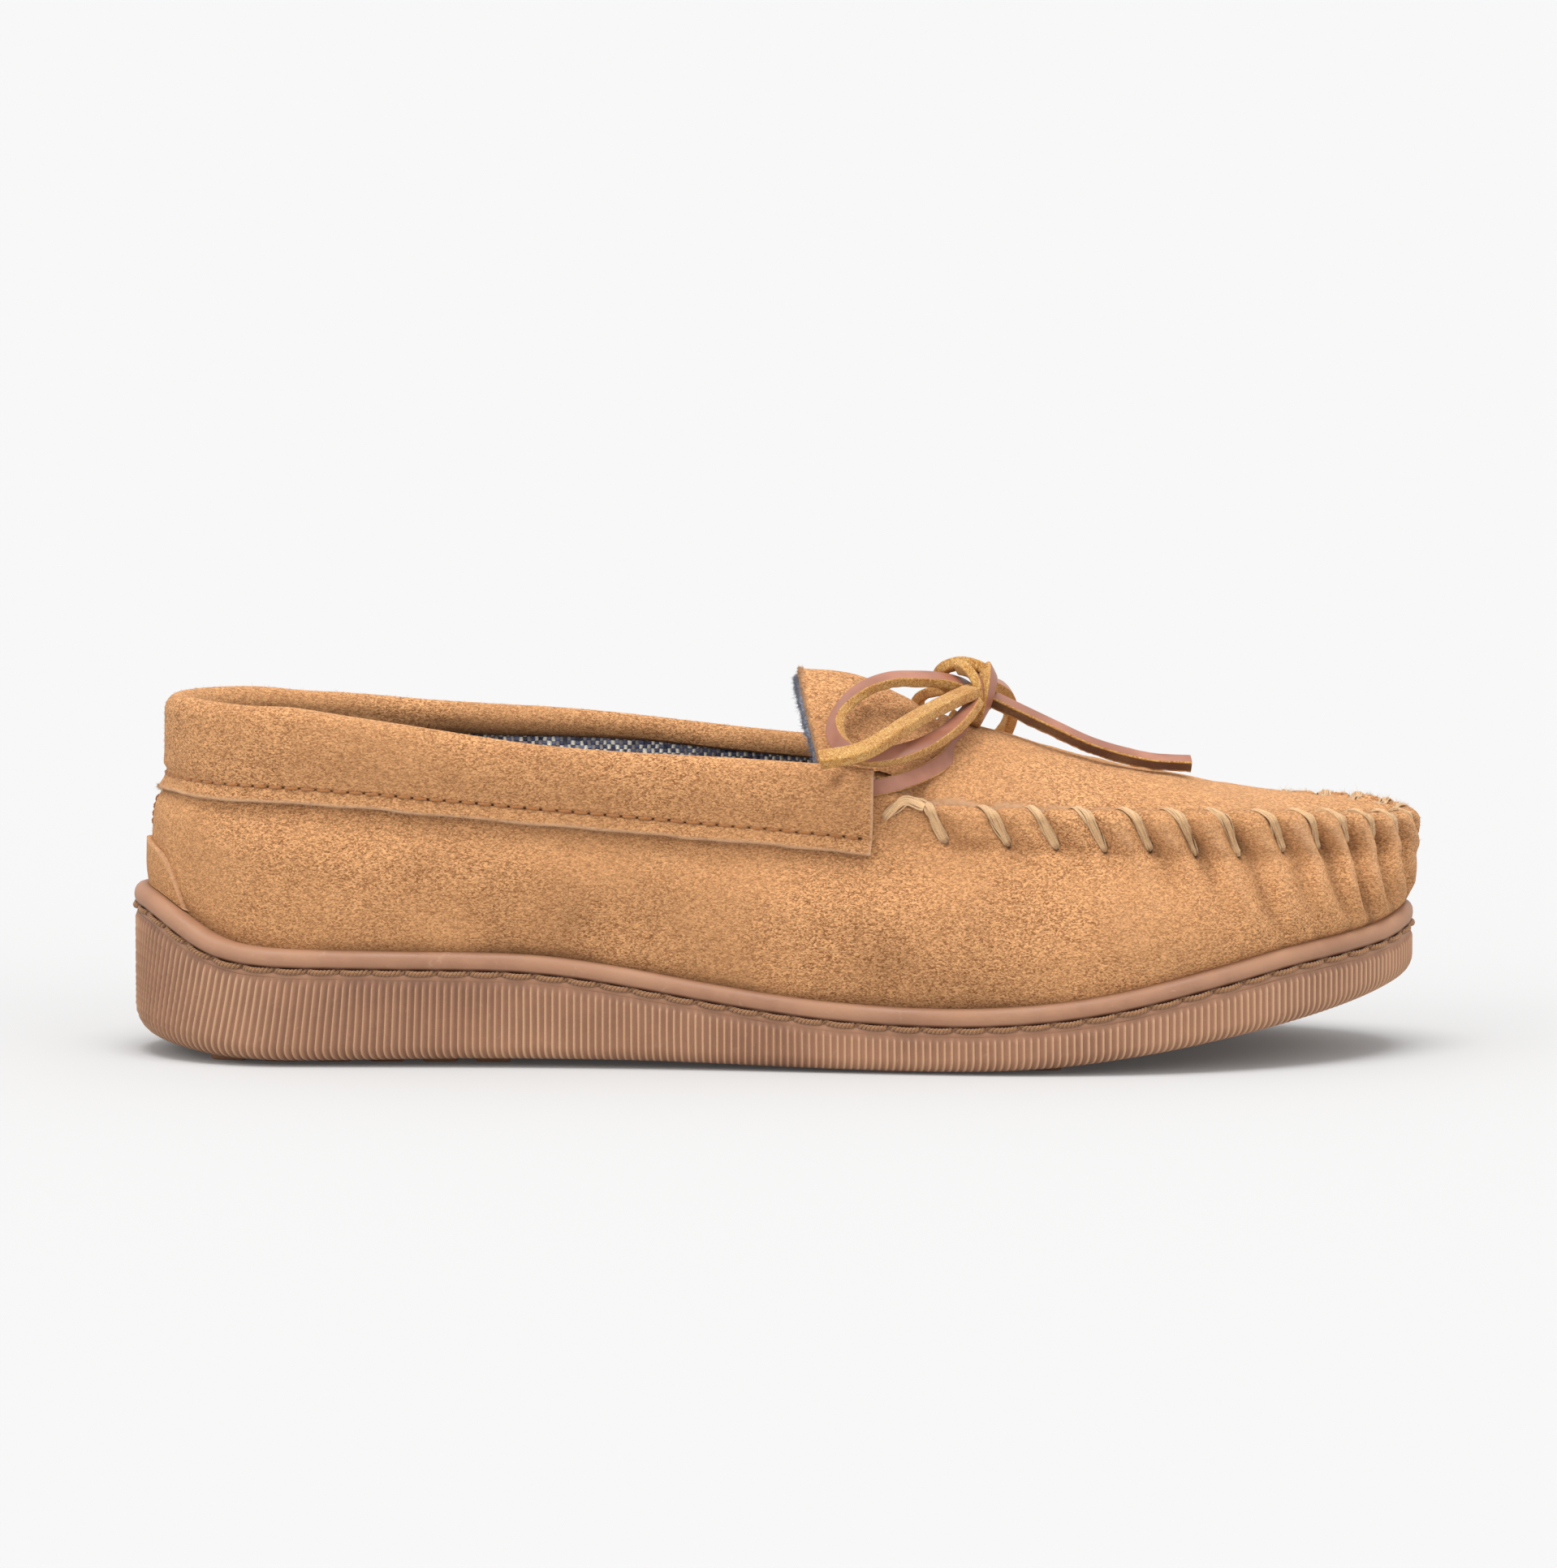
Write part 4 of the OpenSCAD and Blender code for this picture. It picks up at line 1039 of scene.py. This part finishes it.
def build_plug():
    part = Part()
    rows, nf = 300, 141
    f = np.linspace(0, 1, nf)
    f = 0.5 - 0.5 * np.cos(np.pi * lerp(0.06, 0.94, f))
    f = (f - f[0]) / (f[-1] - f[0])
    rear = place(share_top(PLUG_REAR_X - PLUG_EAR * np.abs(2 * f - 1) ** 3))
    s_rear, s_toe = (np.interp(q, TABLE_A, TABLE_SOLE) for q in (rear, 0.4992))
    a = np.interp(lerp(s_rear, s_toe, np.linspace(0, 1, rows + 1)[:, None]), TABLE_SOLE, TABLE_A)
    near, far = wall_point(a, 1.92), wall_point(1 - a, 1.92)
    p = lerp(near, far, f[:, None])
    low = p[..., 2]
    dist = np.minimum(f, 1 - f) * np.linalg.norm(far - near, axis=-1)
    crown = np.maximum(curve(PLUG_RIDGE, p[..., 0]) - low - 1.4, 0)
    dome = (4 * f * (1 - f)) ** 0.92
    edge_rise = 1.9 * (1 - bell(dist, 1.1))
    ph = phase_at(np.where(f < 0.5, top_s(a), top_s(1 - a)) + 1.5)
    d = ph - np.round(ph)
    gather = (0.75 * bell(d, 0.16) - 0.3 * np.sin(np.pi * d) ** 2) * bell(dist, 3.6)
    p[..., 2] = low - 0.5 + edge_rise + crown * dome - gather
    p[..., 2] += (0.5 * noise(p, 24, 41) + 0.22 * noise(p, 9, 42)) * smooth(dist, 0, 8)
    tone = 0.16 * noise(p, 28, 43) + 0.1
    # A pale raw edge just inside the seam, and painted shade right at the edge where the plug meets the wall.
    tone += (0.8 + 0.4 * noise(p, 1.1, 44)) * bell(dist - 0.7, 0.6)
    tone -= 0.8 * bell(dist + 0.2, 0.4)
    under = p - [0, 0, SUEDE]
    ring = np.concatenate([p, under[:, ::-1]], 1)
    part.grid(ring, ring[..., :2], np.concatenate([tone, np.full_like(tone, -0.2)], 1), close_v=True, flip=True)
    part.ladder(ring[0], tone=0.5, flip=True)
    part.ladder(ring[-1])
    for strip in (p[:, :7], p[:, -7:]):
        roots, out = sprinkle(strip, 2200, 205)
        fuzz(part, roots, -out, 0.95, 0.04, 206, tone=0.7)
    roots, out = sprinkle(p, 3000, 207)
    fuzz(part, roots, -out, 0.4, 0.035, 208)
    part.build("suede_plug", [SUEDE_LOOK], "shoe", "plug")

    lining = Part()
    top = under[2:, 4:-4] - [0, 0, 0.1]
    bottom = top - [0, 0, 1.0]
    ring = np.concatenate([top, bottom[:, ::-1]], 1)
    lining.grid(ring, ring[..., :2], close_v=True, flip=True)
    lining.ladder(ring[0], flip=True)
    lining.build("plug_lining_cloth", [TWEED], "shoe", "plug_lining")


# ---------------------------------------------------------------- tongue
# The tongue is sewn to the plug; its meshes are left in place with no parent. its root stays with the shoe and
# it bends towards its free end.
TONGUE_BEND = ("shoe", (0.034, 0, 0.0765), (0.014, 0, 0.0765))


def build_tongue():
    f = np.linspace(-1, 1, 141)
    g = np.linspace(0, 1, 60)[:, None]
    x = lerp(5.2, 39.0, g)
    high = curve(TONGUE_RIDGE, x) - 0.35 * np.maximum(x - 36, 0) - 1.7 * smooth(x, 30, 37.5)
    fall = lerp(19.5, 15.0, np.minimum(1.08 * g, 1))
    half = 27.0 - 2.6 * smooth(x, 14, 30)
    p = join(x + 4.7 * np.abs(f) ** 2.2 * (1 - g) ** 3, f * half - 0.8, high - fall * f ** 2)
    p[..., 2] += (0.45 * noise(p, 17, 51) + 0.2 * noise(p, 7, 52)) * smooth(g, 0, 0.1)
    fold_at = p[..., 0] + 0.55 * np.abs(p[..., 1])
    for where, deep in ((24.5, 0.5), (30.5, 0.7), (36, 0.6)):
        p[..., 2] -= deep * bell(fold_at - where, 0.9) * smooth(np.abs(p[..., 1]), 3, 9)

    # The suede sheet: its upper face, the free edge and the face below.
    edge = p[0] + np.array([[0, 0, -0.35], [-0.25, 0, -0.9], [0.1, 0, -1.5]])[:, None]
    sheet = np.concatenate([p[::-1], edge, p - [0, 0, 1.55]])
    tone = 0.2 * noise(p[::-1], 20, 53)
    tone = np.concatenate([tone, np.full((len(edge), len(f)), 0.75), np.full_like(tone, -0.2)])
    part = Part()
    part.grid(sheet, tone=tone)
    roots, _ = sprinkle(sheet[len(g) - 3:len(g) + 3], 1800, 223)
    fuzz(part, roots, (-0.6, 0, 0.6), 0.6, 0.045, 224, tone=0.8)
    part.build("suede_tongue", [SUEDE_LOOK], "tongue", "tongue", TONGUE_BEND)

    # Its cloth stands out a little past the suede and is raw at the free edge.
    top = p - [0, 0, 1.7]
    top[..., 0] -= (0.1 + 0.7 * np.sin(np.pi * np.minimum(np.abs(f) / 0.95, 1))) * (1 - g) ** 12
    ragged = 0.35 * noise(top[0], 1.6, 54)
    edge = np.stack([top[0] + join(-0.3 - ragged, 0, -0.35), top[0] + join(-0.35 - ragged, 0, -1.0)])
    sheet = np.concatenate([top[::-1], edge, top - [0, 0, 1.4]])
    row = np.arange(len(sheet) - 1)[:, None]
    raw_rows = (row >= len(g) - 4) & (row <= len(g) + 3)
    cloth = Part()
    cloth.grid(sheet, sheet[..., :2], mat=raw_rows.astype(int))
    roots, _ = sprinkle(sheet[len(g) - 2:len(g) + 3], 2600, 221)
    fuzz(cloth, roots, (-1.0, 0, -0.1), 0.8, 0.05, 222, mat=1)
    cloth.build("tongue_lining_cloth", [TWEED, FLEECE], "tongue", "tongue_lining", TONGUE_BEND)


# ---------------------------------------------------------------- whip stitches
def strand_bundle(part, path, width, normal, seed, strands=11):
    """A flat bundle of fine strands along path; normal (n, 3) is the surface's outward direction."""
    g = np.random.default_rng(seed)
    across = axes(path, normal)[0]
    up = normal[len(path) // 2]
    q = np.linspace(0, 1, len(path))
    spread = width * (0.62 + 0.3 * smooth(q, 0, 0.35) + 0.3 * smooth(q, 0.6, 1))
    tube(part, path + 0.05 * normal, 0.36 * spread, 8, 0.45, up)
    for k in range(strands):
        c = (k - (strands - 1) / 2) / (strands - 1)
        lay = c + 0.16 * np.sin(2 * np.pi * (q * (0.7 + 0.5 * g.random()) + g.random()))
        hump = 0.34 * width * (math.sqrt(max(0.04, 1 - (1.7 * c) ** 2)) - 0.6)
        rise = hump + 0.1 * np.sin(2 * np.pi * (q * 1.5 + g.random()))
        strand = path + (lay * spread)[:, None] * across + rise[:, None] * normal
        tube(part, strand, 0.2 * (0.8 + 0.5 * g.random()), 5, up=up)


def lifted(a, v, lift):
    """A path over the wall at the heights lift above it, and the wall's outward directions there."""
    path = wall_point(a, v, lift)
    return path, path - wall_point(a, v, lift - 1.0)


def whip_leg(s_top, drop):
    """A stitch's path and outward directions: up from its hole, over the ridge and down into the plug."""
    h = np.linspace(drop + 0.3, ROLL, 14)
    q = np.linspace(0.05, 0.95, 11)
    s = np.concatenate([s_top + WHIP_LEAN * h, s_top + WHIP_LEAN * ROLL * (1 - q) - 3.2 * q ** 1.3])
    a = np.interp(s, TABLE_TOP, TABLE_A)
    v = np.concatenate([ridge_v(a[:len(h)], h), 1 + 0.92 * q])
    path, normal = lifted(a, v, np.concatenate([[-1.1, -0.2], np.full(12, 0.6), np.full(11, 0.7)]))
    into = inward(a[-1], 1.0) + 0.5 * unit((path[-1] - path[-2])[:2])
    down = ((0.7, 0.35), (1.4, 0.45), (2.0, 0.1), (2.5, -0.8), (2.7, -1.8))
    tail = path[-1] + np.array([[into[0] * d, into[1] * d, up] for d, up in down])
    normal = np.concatenate([normal, np.repeat(normal[-1:], len(down), 0) + [0, 0, 0.8]])
    return np.concatenate([path, tail]), unit(normal)


def build_whips():
    part = Part()
    for k in range(WHIPS):
        path, normal = whip_leg(WHIP_S[k], WHIP_H[k])
        strand_bundle(part, path, 2.4 if k in (0, WHIPS - 1) else 2.1, normal, 100 + k)
        g = np.random.default_rng(300 + k)
        at = g.integers(9, len(path) - 3, 70)
        fuzz(part, path[at] + 0.7 * g.uniform(-1, 1, (70, 3)), normal[at], 1.3, 0.035, 400 + k, spread=1.4)
    # A second leg behind the first stitch on either side, down towards the collar's cut end.
    q = np.linspace(0, 1, 16)
    h = curve([[0, 6.6], [0.25, 4.0], [0.5, 1.6], [0.75, 0.9], [1, 1.0]], q)
    for s_stitch, behind, ahead, seed in ((WHIP_S[0], -9.5, -0.5, 89), (WHIP_S[-1], 9.5, 2.5, 91)):
        a = np.interp(s_stitch + lerp(behind, ahead, q), TABLE_TOP, TABLE_A)
        v = np.where(h > ROLL, ridge_v(a, h), 1 + np.arcsin(np.clip(1 - h / ROLL, 0, 1)) / np.pi)
        path, normal = lifted(a, v, np.where(q > 0, 0.75, -0.6))
        strand_bundle(part, path, 2.2, unit(normal), seed)
    part.build("whip_stitch_thread", [WHIP_THREAD], "shoe", "whip_stitching")


# ---------------------------------------------------------------- sole stitching
def build_sole_stitches():
    part = Part()
    ends = np.linspace(0, AROUND, round(AROUND / 7.4) + 1)
    arch = np.sin(np.linspace(0, np.pi, 14)) ** 0.45
    for start, end in zip(ends[:-1] + 0.3, ends[1:] - 0.3):
        a = np.interp(np.linspace(start, end, 14), TABLE_SOLE, TABLE_A)
        path = raised(outline(a, 1.2 - 1.3 * arch), groove_z(along(a)) + 0.25 - 0.4 * arch)
        twisted(part, path, 0.66, 1.9, 40)
    part.build("sole_thread_row", [SOLE_THREAD], "shoe", "sole_stitching")


# ---------------------------------------------------------------- lace
THONG = [GRAIN, FLESH]


def strap(part, points, normals, width, thick, seed, steps=14, sides=0.0):
    """A thong: its grain face looks along the normals, the rest is fibrous; sides is tone added to the cut
    sides, painted shade where it is below 0.
    """
    u = np.linspace(0, len(points) - 1, (len(points) - 1) * steps + 1)
    path, normal = (curve(list(enumerate(knots)), u) for knots in (points, normals))
    t = unit(np.gradient(path, axis=0))
    normal = unit(normal - (normal * t).sum(1, keepdims=True) * t)
    b = np.cross(t, normal)
    w, h = width / 2, thick / 2
    half = [(w - 0.45, h + 0.02), (w - 0.18, h), (w, h - 0.18), (w + 0.03, h - 0.5),
            (w + 0.03, 0.5 - h), (w - 0.02, 0.2 - h), (w - 0.2, -h), (w - 0.5, -h - 0.03)]
    profile = np.array([(0, h + 0.06)] + half + [(0, -h - 0.06)] + [(-x, y) for x, y in half[::-1]])
    profile = np.roll(profile, 3, axis=0)                    # now points 1 to 5 are the grain face
    spokes = profile[:, :1] * b[:, None] + profile[:, 1:] * normal[:, None]
    p = path[:, None] + spokes
    shake = 0.1 * noise(p, 0.75, 60 + seed) + 0.12 * noise(p, 2.6, 61 + seed)
    shake[:, 1:6] *= 0.15
    p = p + unit(spokes) * shake[..., None]
    tone = 0.18 * noise(p, 6, 62 + seed)
    tone[:, [7, 8, 16, 17]] += sides
    mat = np.ones(len(profile), int)
    mat[1:5] = 0
    part.grid(p, tone=tone, close_v=True, mat=mat)
    part.cap(p[0], mat=1)
    part.cap(p[-1], flip=True, mat=1)


def build_bows():
    # The loop on the outer side.
    part = Part()
    strap(part, [[44.7, -5, 81.6], [42.3, -6.5, 83.6], [37.5, -8.5, 85.1], [32, -11, 85.7], [25.7, -14.5, 85.8],
                 [19.8, -18.5, 84.1], [15.3, -23, 80.7], [13.1, -28, 77.1], [13.9, -32, 73.6],
                 [16.8, -34.5, 71.1], [22, -35, 70.4], [27.9, -33, 70.9], [33.8, -29, 72.6], [39, -23, 75.1],
                 [43.1, -16, 78.3], [45.3, -9, 80.9]],
          [[-0.2, -0.5, 1], [-0.2, -0.5, 1], [-0.15, -0.5, 1], [-0.15, -0.55, 1], [-0.35, -0.6, 0.9],
           [-0.6, -0.65, 0.7], [-0.85, -0.7, 0.45], [-0.9, -0.8, 0.15], [-0.55, -1, 0.1], [-0.2, -1, 0.35],
           [-0.1, -0.9, 0.6], [-0.25, -0.85, 0.7], [-0.35, -0.8, 0.7], [-0.45, -0.75, 0.7], [-0.5, -0.7, 0.6],
           [-0.5, -0.7, 0.6]], 4.1, 2.3, 1)
    part.build("lateral_bow_loop", THONG, "lateral_bow", "lateral_loop")

    # The free end that lies over it, flesh side out; its root starts in the knot.
    part = Part()
    strap(part, [[45.1, -9.5, 83], [42.7, -13, 82.4], [37.5, -20, 80.7], [31.6, -28, 78.4], [26.1, -35, 75.6],
                 [21.3, -39.5, 73.1], [16.3, -41.5, 71.5], [9.6, -42, 70.4]],
          [[0.3, 0.6, -0.75], [0.3, 0.6, -0.75], [0.35, 0.6, -0.78], [0.35, 0.6, -0.8], [0.35, 0.55, -0.8],
           [0.2, 0.5, -0.85], [0.1, 0.5, -0.85], [0.05, 0.5, -0.85]], 4.4, 2.5, 2)
    part.build("lateral_free_end", THONG, "lateral_bow", "lateral_tail",
               ("shoe", (0.0451, -0.0095, 0.083), (0.036, -0.022, 0.0802)))

    # The loop on the inner side.
    part = Part()
    strap(part, [[45.8, -1, 81.1], [43.1, 5, 81.8], [37.9, 12, 80.9], [33.5, 19, 79], [32.5, 26, 75],
                 [37.2, 32, 69.5], [44.5, 35, 67], [50.5, 34, 67.4], [53.2, 28, 71.4], [53.8, 19, 76.4],
                 [51.9, 10, 81.1], [47.5, 3, 83.7]],
          [[0, 0.5, 1], [0, 0.5, 1], [-0.2, 0.3, 1], [-0.6, 0.3, 0.8], [-1, 0.4, 0.2], [-0.3, 1, 0.1],
           [0.1, 1, 0.2], [0.7, 0.9, 0.1], [1, 0.1, 0.1], [1, -0.4, 0.5], [0.6, -0.5, 0.9], [0.2, -0.2, 1]],
          3.6, 2.4, 3)
    part.build("medial_bow_loop", THONG, "medial_bow", "medial_loop")

    # The long free end over the plug, with painted shade on its cut sides.
    part = Part()
    strap(part, [[47.3, -3, 81], [50.8, -3.5, 79.5], [56.4, -4.5, 76.9], [63.4, -5, 73.6], [70.8, -5, 70.2],
                 [78.2, -4.5, 67.8], [85.6, -4, 66.2], [94.1, -3, 65.6]],
          [[0.2, -0.35, 0.9]] * 5 + [[0.1, -0.35, 0.9]] * 3, 3.7, 2.6, 4, sides=-0.9)
    part.build("toe_free_end", THONG, "toe_end", "toe_tail")


def build_knot():
    """An arch over the top, a band pulled tight round the middle and a short run down the front."""
    part = Part()
    strap(part, [[47.1, 2, 77.9], [44.2, 4, 79.5], [39.7, 3, 82.6], [37.3, 0, 85.2], [38.4, -3, 87.5],
                 [41.8, -5, 88.6], [45.5, -5.5, 87.9], [47.9, -4, 86.3], [48.8, -1, 82.6], [47.9, 2, 79]],
          [[-0.5, 0.6, 0.2], [-0.7, 0.4, 0.5], [-0.9, 0.3, 0.3], [-0.9, 0.2, 0.5], [-0.5, 0.4, 0.9],
           [0, 0.4, 1], [0.5, 0.35, 0.9], [1, 0.2, 0.5], [1, 0.1, 0], [1, 0, -0.4]], 3.6, 2.5, 5)
    turn = [(math.cos(r), math.sin(r)) for r in np.radians(np.linspace(-200, 175, 16))]
    strap(part, [[46.6 + 1.3 * sin + 0.5 * cos, -4.0 - 4.9 * cos, 81.4 + 5.3 * sin] for cos, sin in turn],
          [[1.0, -0.5 * cos, 0.5 * sin] for cos, sin in turn], 3.8, 3.0, 6, steps=9)
    strap(part, [[41.2, -6, 88], [43.1, -8, 87.5], [44.9, -9.6, 85.8], [46, -10.2, 83.2], [46.2, -9, 79.8],
                 [45.3, -6, 76.5]],
          [[0.9, 0.1, 0.5], [0.9, 0, 0.4], [0.9, -0.2, 0.2], [1, -0.3, 0], [1, -0.3, -0.1], [1, 0, -0.2]],
          3.4, 2.1, 7)
    part.build("tied_knot", THONG, "shoe", "lace_knot")


def build_collar_thong():
    """The runs from the collar's ends up into the knot, and round inside the collar."""
    part = Part()
    inside = evenly(70, -COLLAR_REACH + 0.008, COLLAR_REACH - 0.008)[0][::-1]
    run = wall_at_height(inside, rim_at(inside) - 5.6, np.full(len(inside), 0.1))
    run_normal = raised(-inward(inside, 0.9), 0)
    outer = np.array([[41.2, -9, 75.3], [40.7, -13, 72.7], [39.6, -17.5, 70.1], [37, -24, 67.8],
                      [32.3, -29.5, 65.7], [26.4, -33.2, 64.1], [19.4, -34, 63]])
    outer_normal = np.array([[0.6, -0.7, 0.5], [0.6, -0.75, 0.5], [0.55, -0.8, 0.4], [0.35, -0.85, 0.4],
                             [0.2, -0.9, 0.35], [0.05, -1, 0.2], [0, -1, 0.1]])
    inner = (outer * [1, -1, 1] - [0, 2.5, 0])[::-1]
    inner_normal = (outer_normal * [1, -1, 1])[::-1]
    strap(part, np.concatenate([outer, run, inner]), np.concatenate([outer_normal, run_normal, inner_normal]),
          3.8, 2.2, 8, steps=6)
    part.build("collar_thong", THONG, "shoe", "collar_lace")


# ---------------------------------------------------------------- build everything
build_sole()
build_wall()
build_heel_tab()
build_collar()
build_lining()
build_footbed()
build_back_seam()
build_plug()
build_tongue()
build_whips()
build_sole_stitches()
build_bows()
build_knot()
build_collar_thong()

# Hidden layers keep their CAD shape with a material of their own.
for material, nodes in ((FOAM, ("midsole_filler", "foam_footbed")), (BOARD, ("insole_board", "heel_counter"))):
    for node in nodes:
        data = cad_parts[node].data
        data.materials.clear()
        data.materials.append(material)

# ---------------------------------------------------------------- floor, light and camera
bpy.ops.mesh.primitive_plane_add(size=120)
floor = bpy.context.object
floor.name = "floor"
floor.data.materials.append(Shader("pale_floor").finish(
    srgb(183, 183, 183), 1.0, Specular_IOR_Level=0.0, Emission_Color=(1, 1, 1, 1), Emission_Strength=0.03))

# The world lights the shoe evenly; where the camera looks past the floor, it sees the pale backdrop.
scene = bpy.context.scene
scene.world = bpy.data.worlds.new("studio")
scene.world.use_nodes = True
world = scene.world.node_tree
ambient = world.nodes["Background"]
ambient.inputs[0].default_value = (1, 1, 1, 1)
ambient.inputs[1].default_value = 1.0
backdrop = world.nodes.new("ShaderNodeBackground")
backdrop.inputs[0].default_value = srgb(248, 248, 248)
rays = world.nodes.new("ShaderNodeLightPath")
pick = world.nodes.new("ShaderNodeMixShader")
world.links.new(rays.outputs["Is Camera Ray"], pick.inputs[0])
world.links.new(ambient.outputs[0], pick.inputs[1])
world.links.new(backdrop.outputs[0], pick.inputs[2])
world.links.new(pick.outputs[0], world.nodes["World Output"].inputs[0])


def sun(name, strength, angle, direction):
    """A wide soft light from a direction; angle is its apparent size in degrees."""
    light = bpy.data.lights.new(name, "SUN")
    light.energy = strength
    light.angle = math.radians(angle)
    ob = bpy.data.objects.new(name, light)
    ob.rotation_euler = Vector(direction).to_track_quat("Z", "Y").to_euler()
    bpy.context.collection.objects.link(ob)


sun("key", 2.4, 36, (-0.02, -0.16, 1.0))
sun("front_left", 0.98, 50, (-1.0, -0.9, 0.42))
sun("front_right", 0.88, 50, (0.9, -0.95, 0.3))

# The camera stands level with the outer side, a little raised, and frames a width of VIEW_WIDTH.
DISTANCE, ELEVATION, VIEW_WIDTH, SENSOR = 2.5, math.radians(6), 0.3545, 36
AIM = np.array([0.0004, 0, 0.0606])
camera = bpy.data.objects.new("camera", bpy.data.cameras.new("camera"))
bpy.context.collection.objects.link(camera)
camera.data.sensor_fit = "HORIZONTAL"
camera.data.lens = SENSOR * DISTANCE / VIEW_WIDTH
camera.data.clip_end = 300
camera.location = AIM + DISTANCE * np.array([0, -math.cos(ELEVATION), math.sin(ELEVATION)])
camera.rotation_euler = (math.pi / 2 - ELEVATION, 0, 0)
scene.camera = camera
scene.view_settings.view_transform = "Standard"
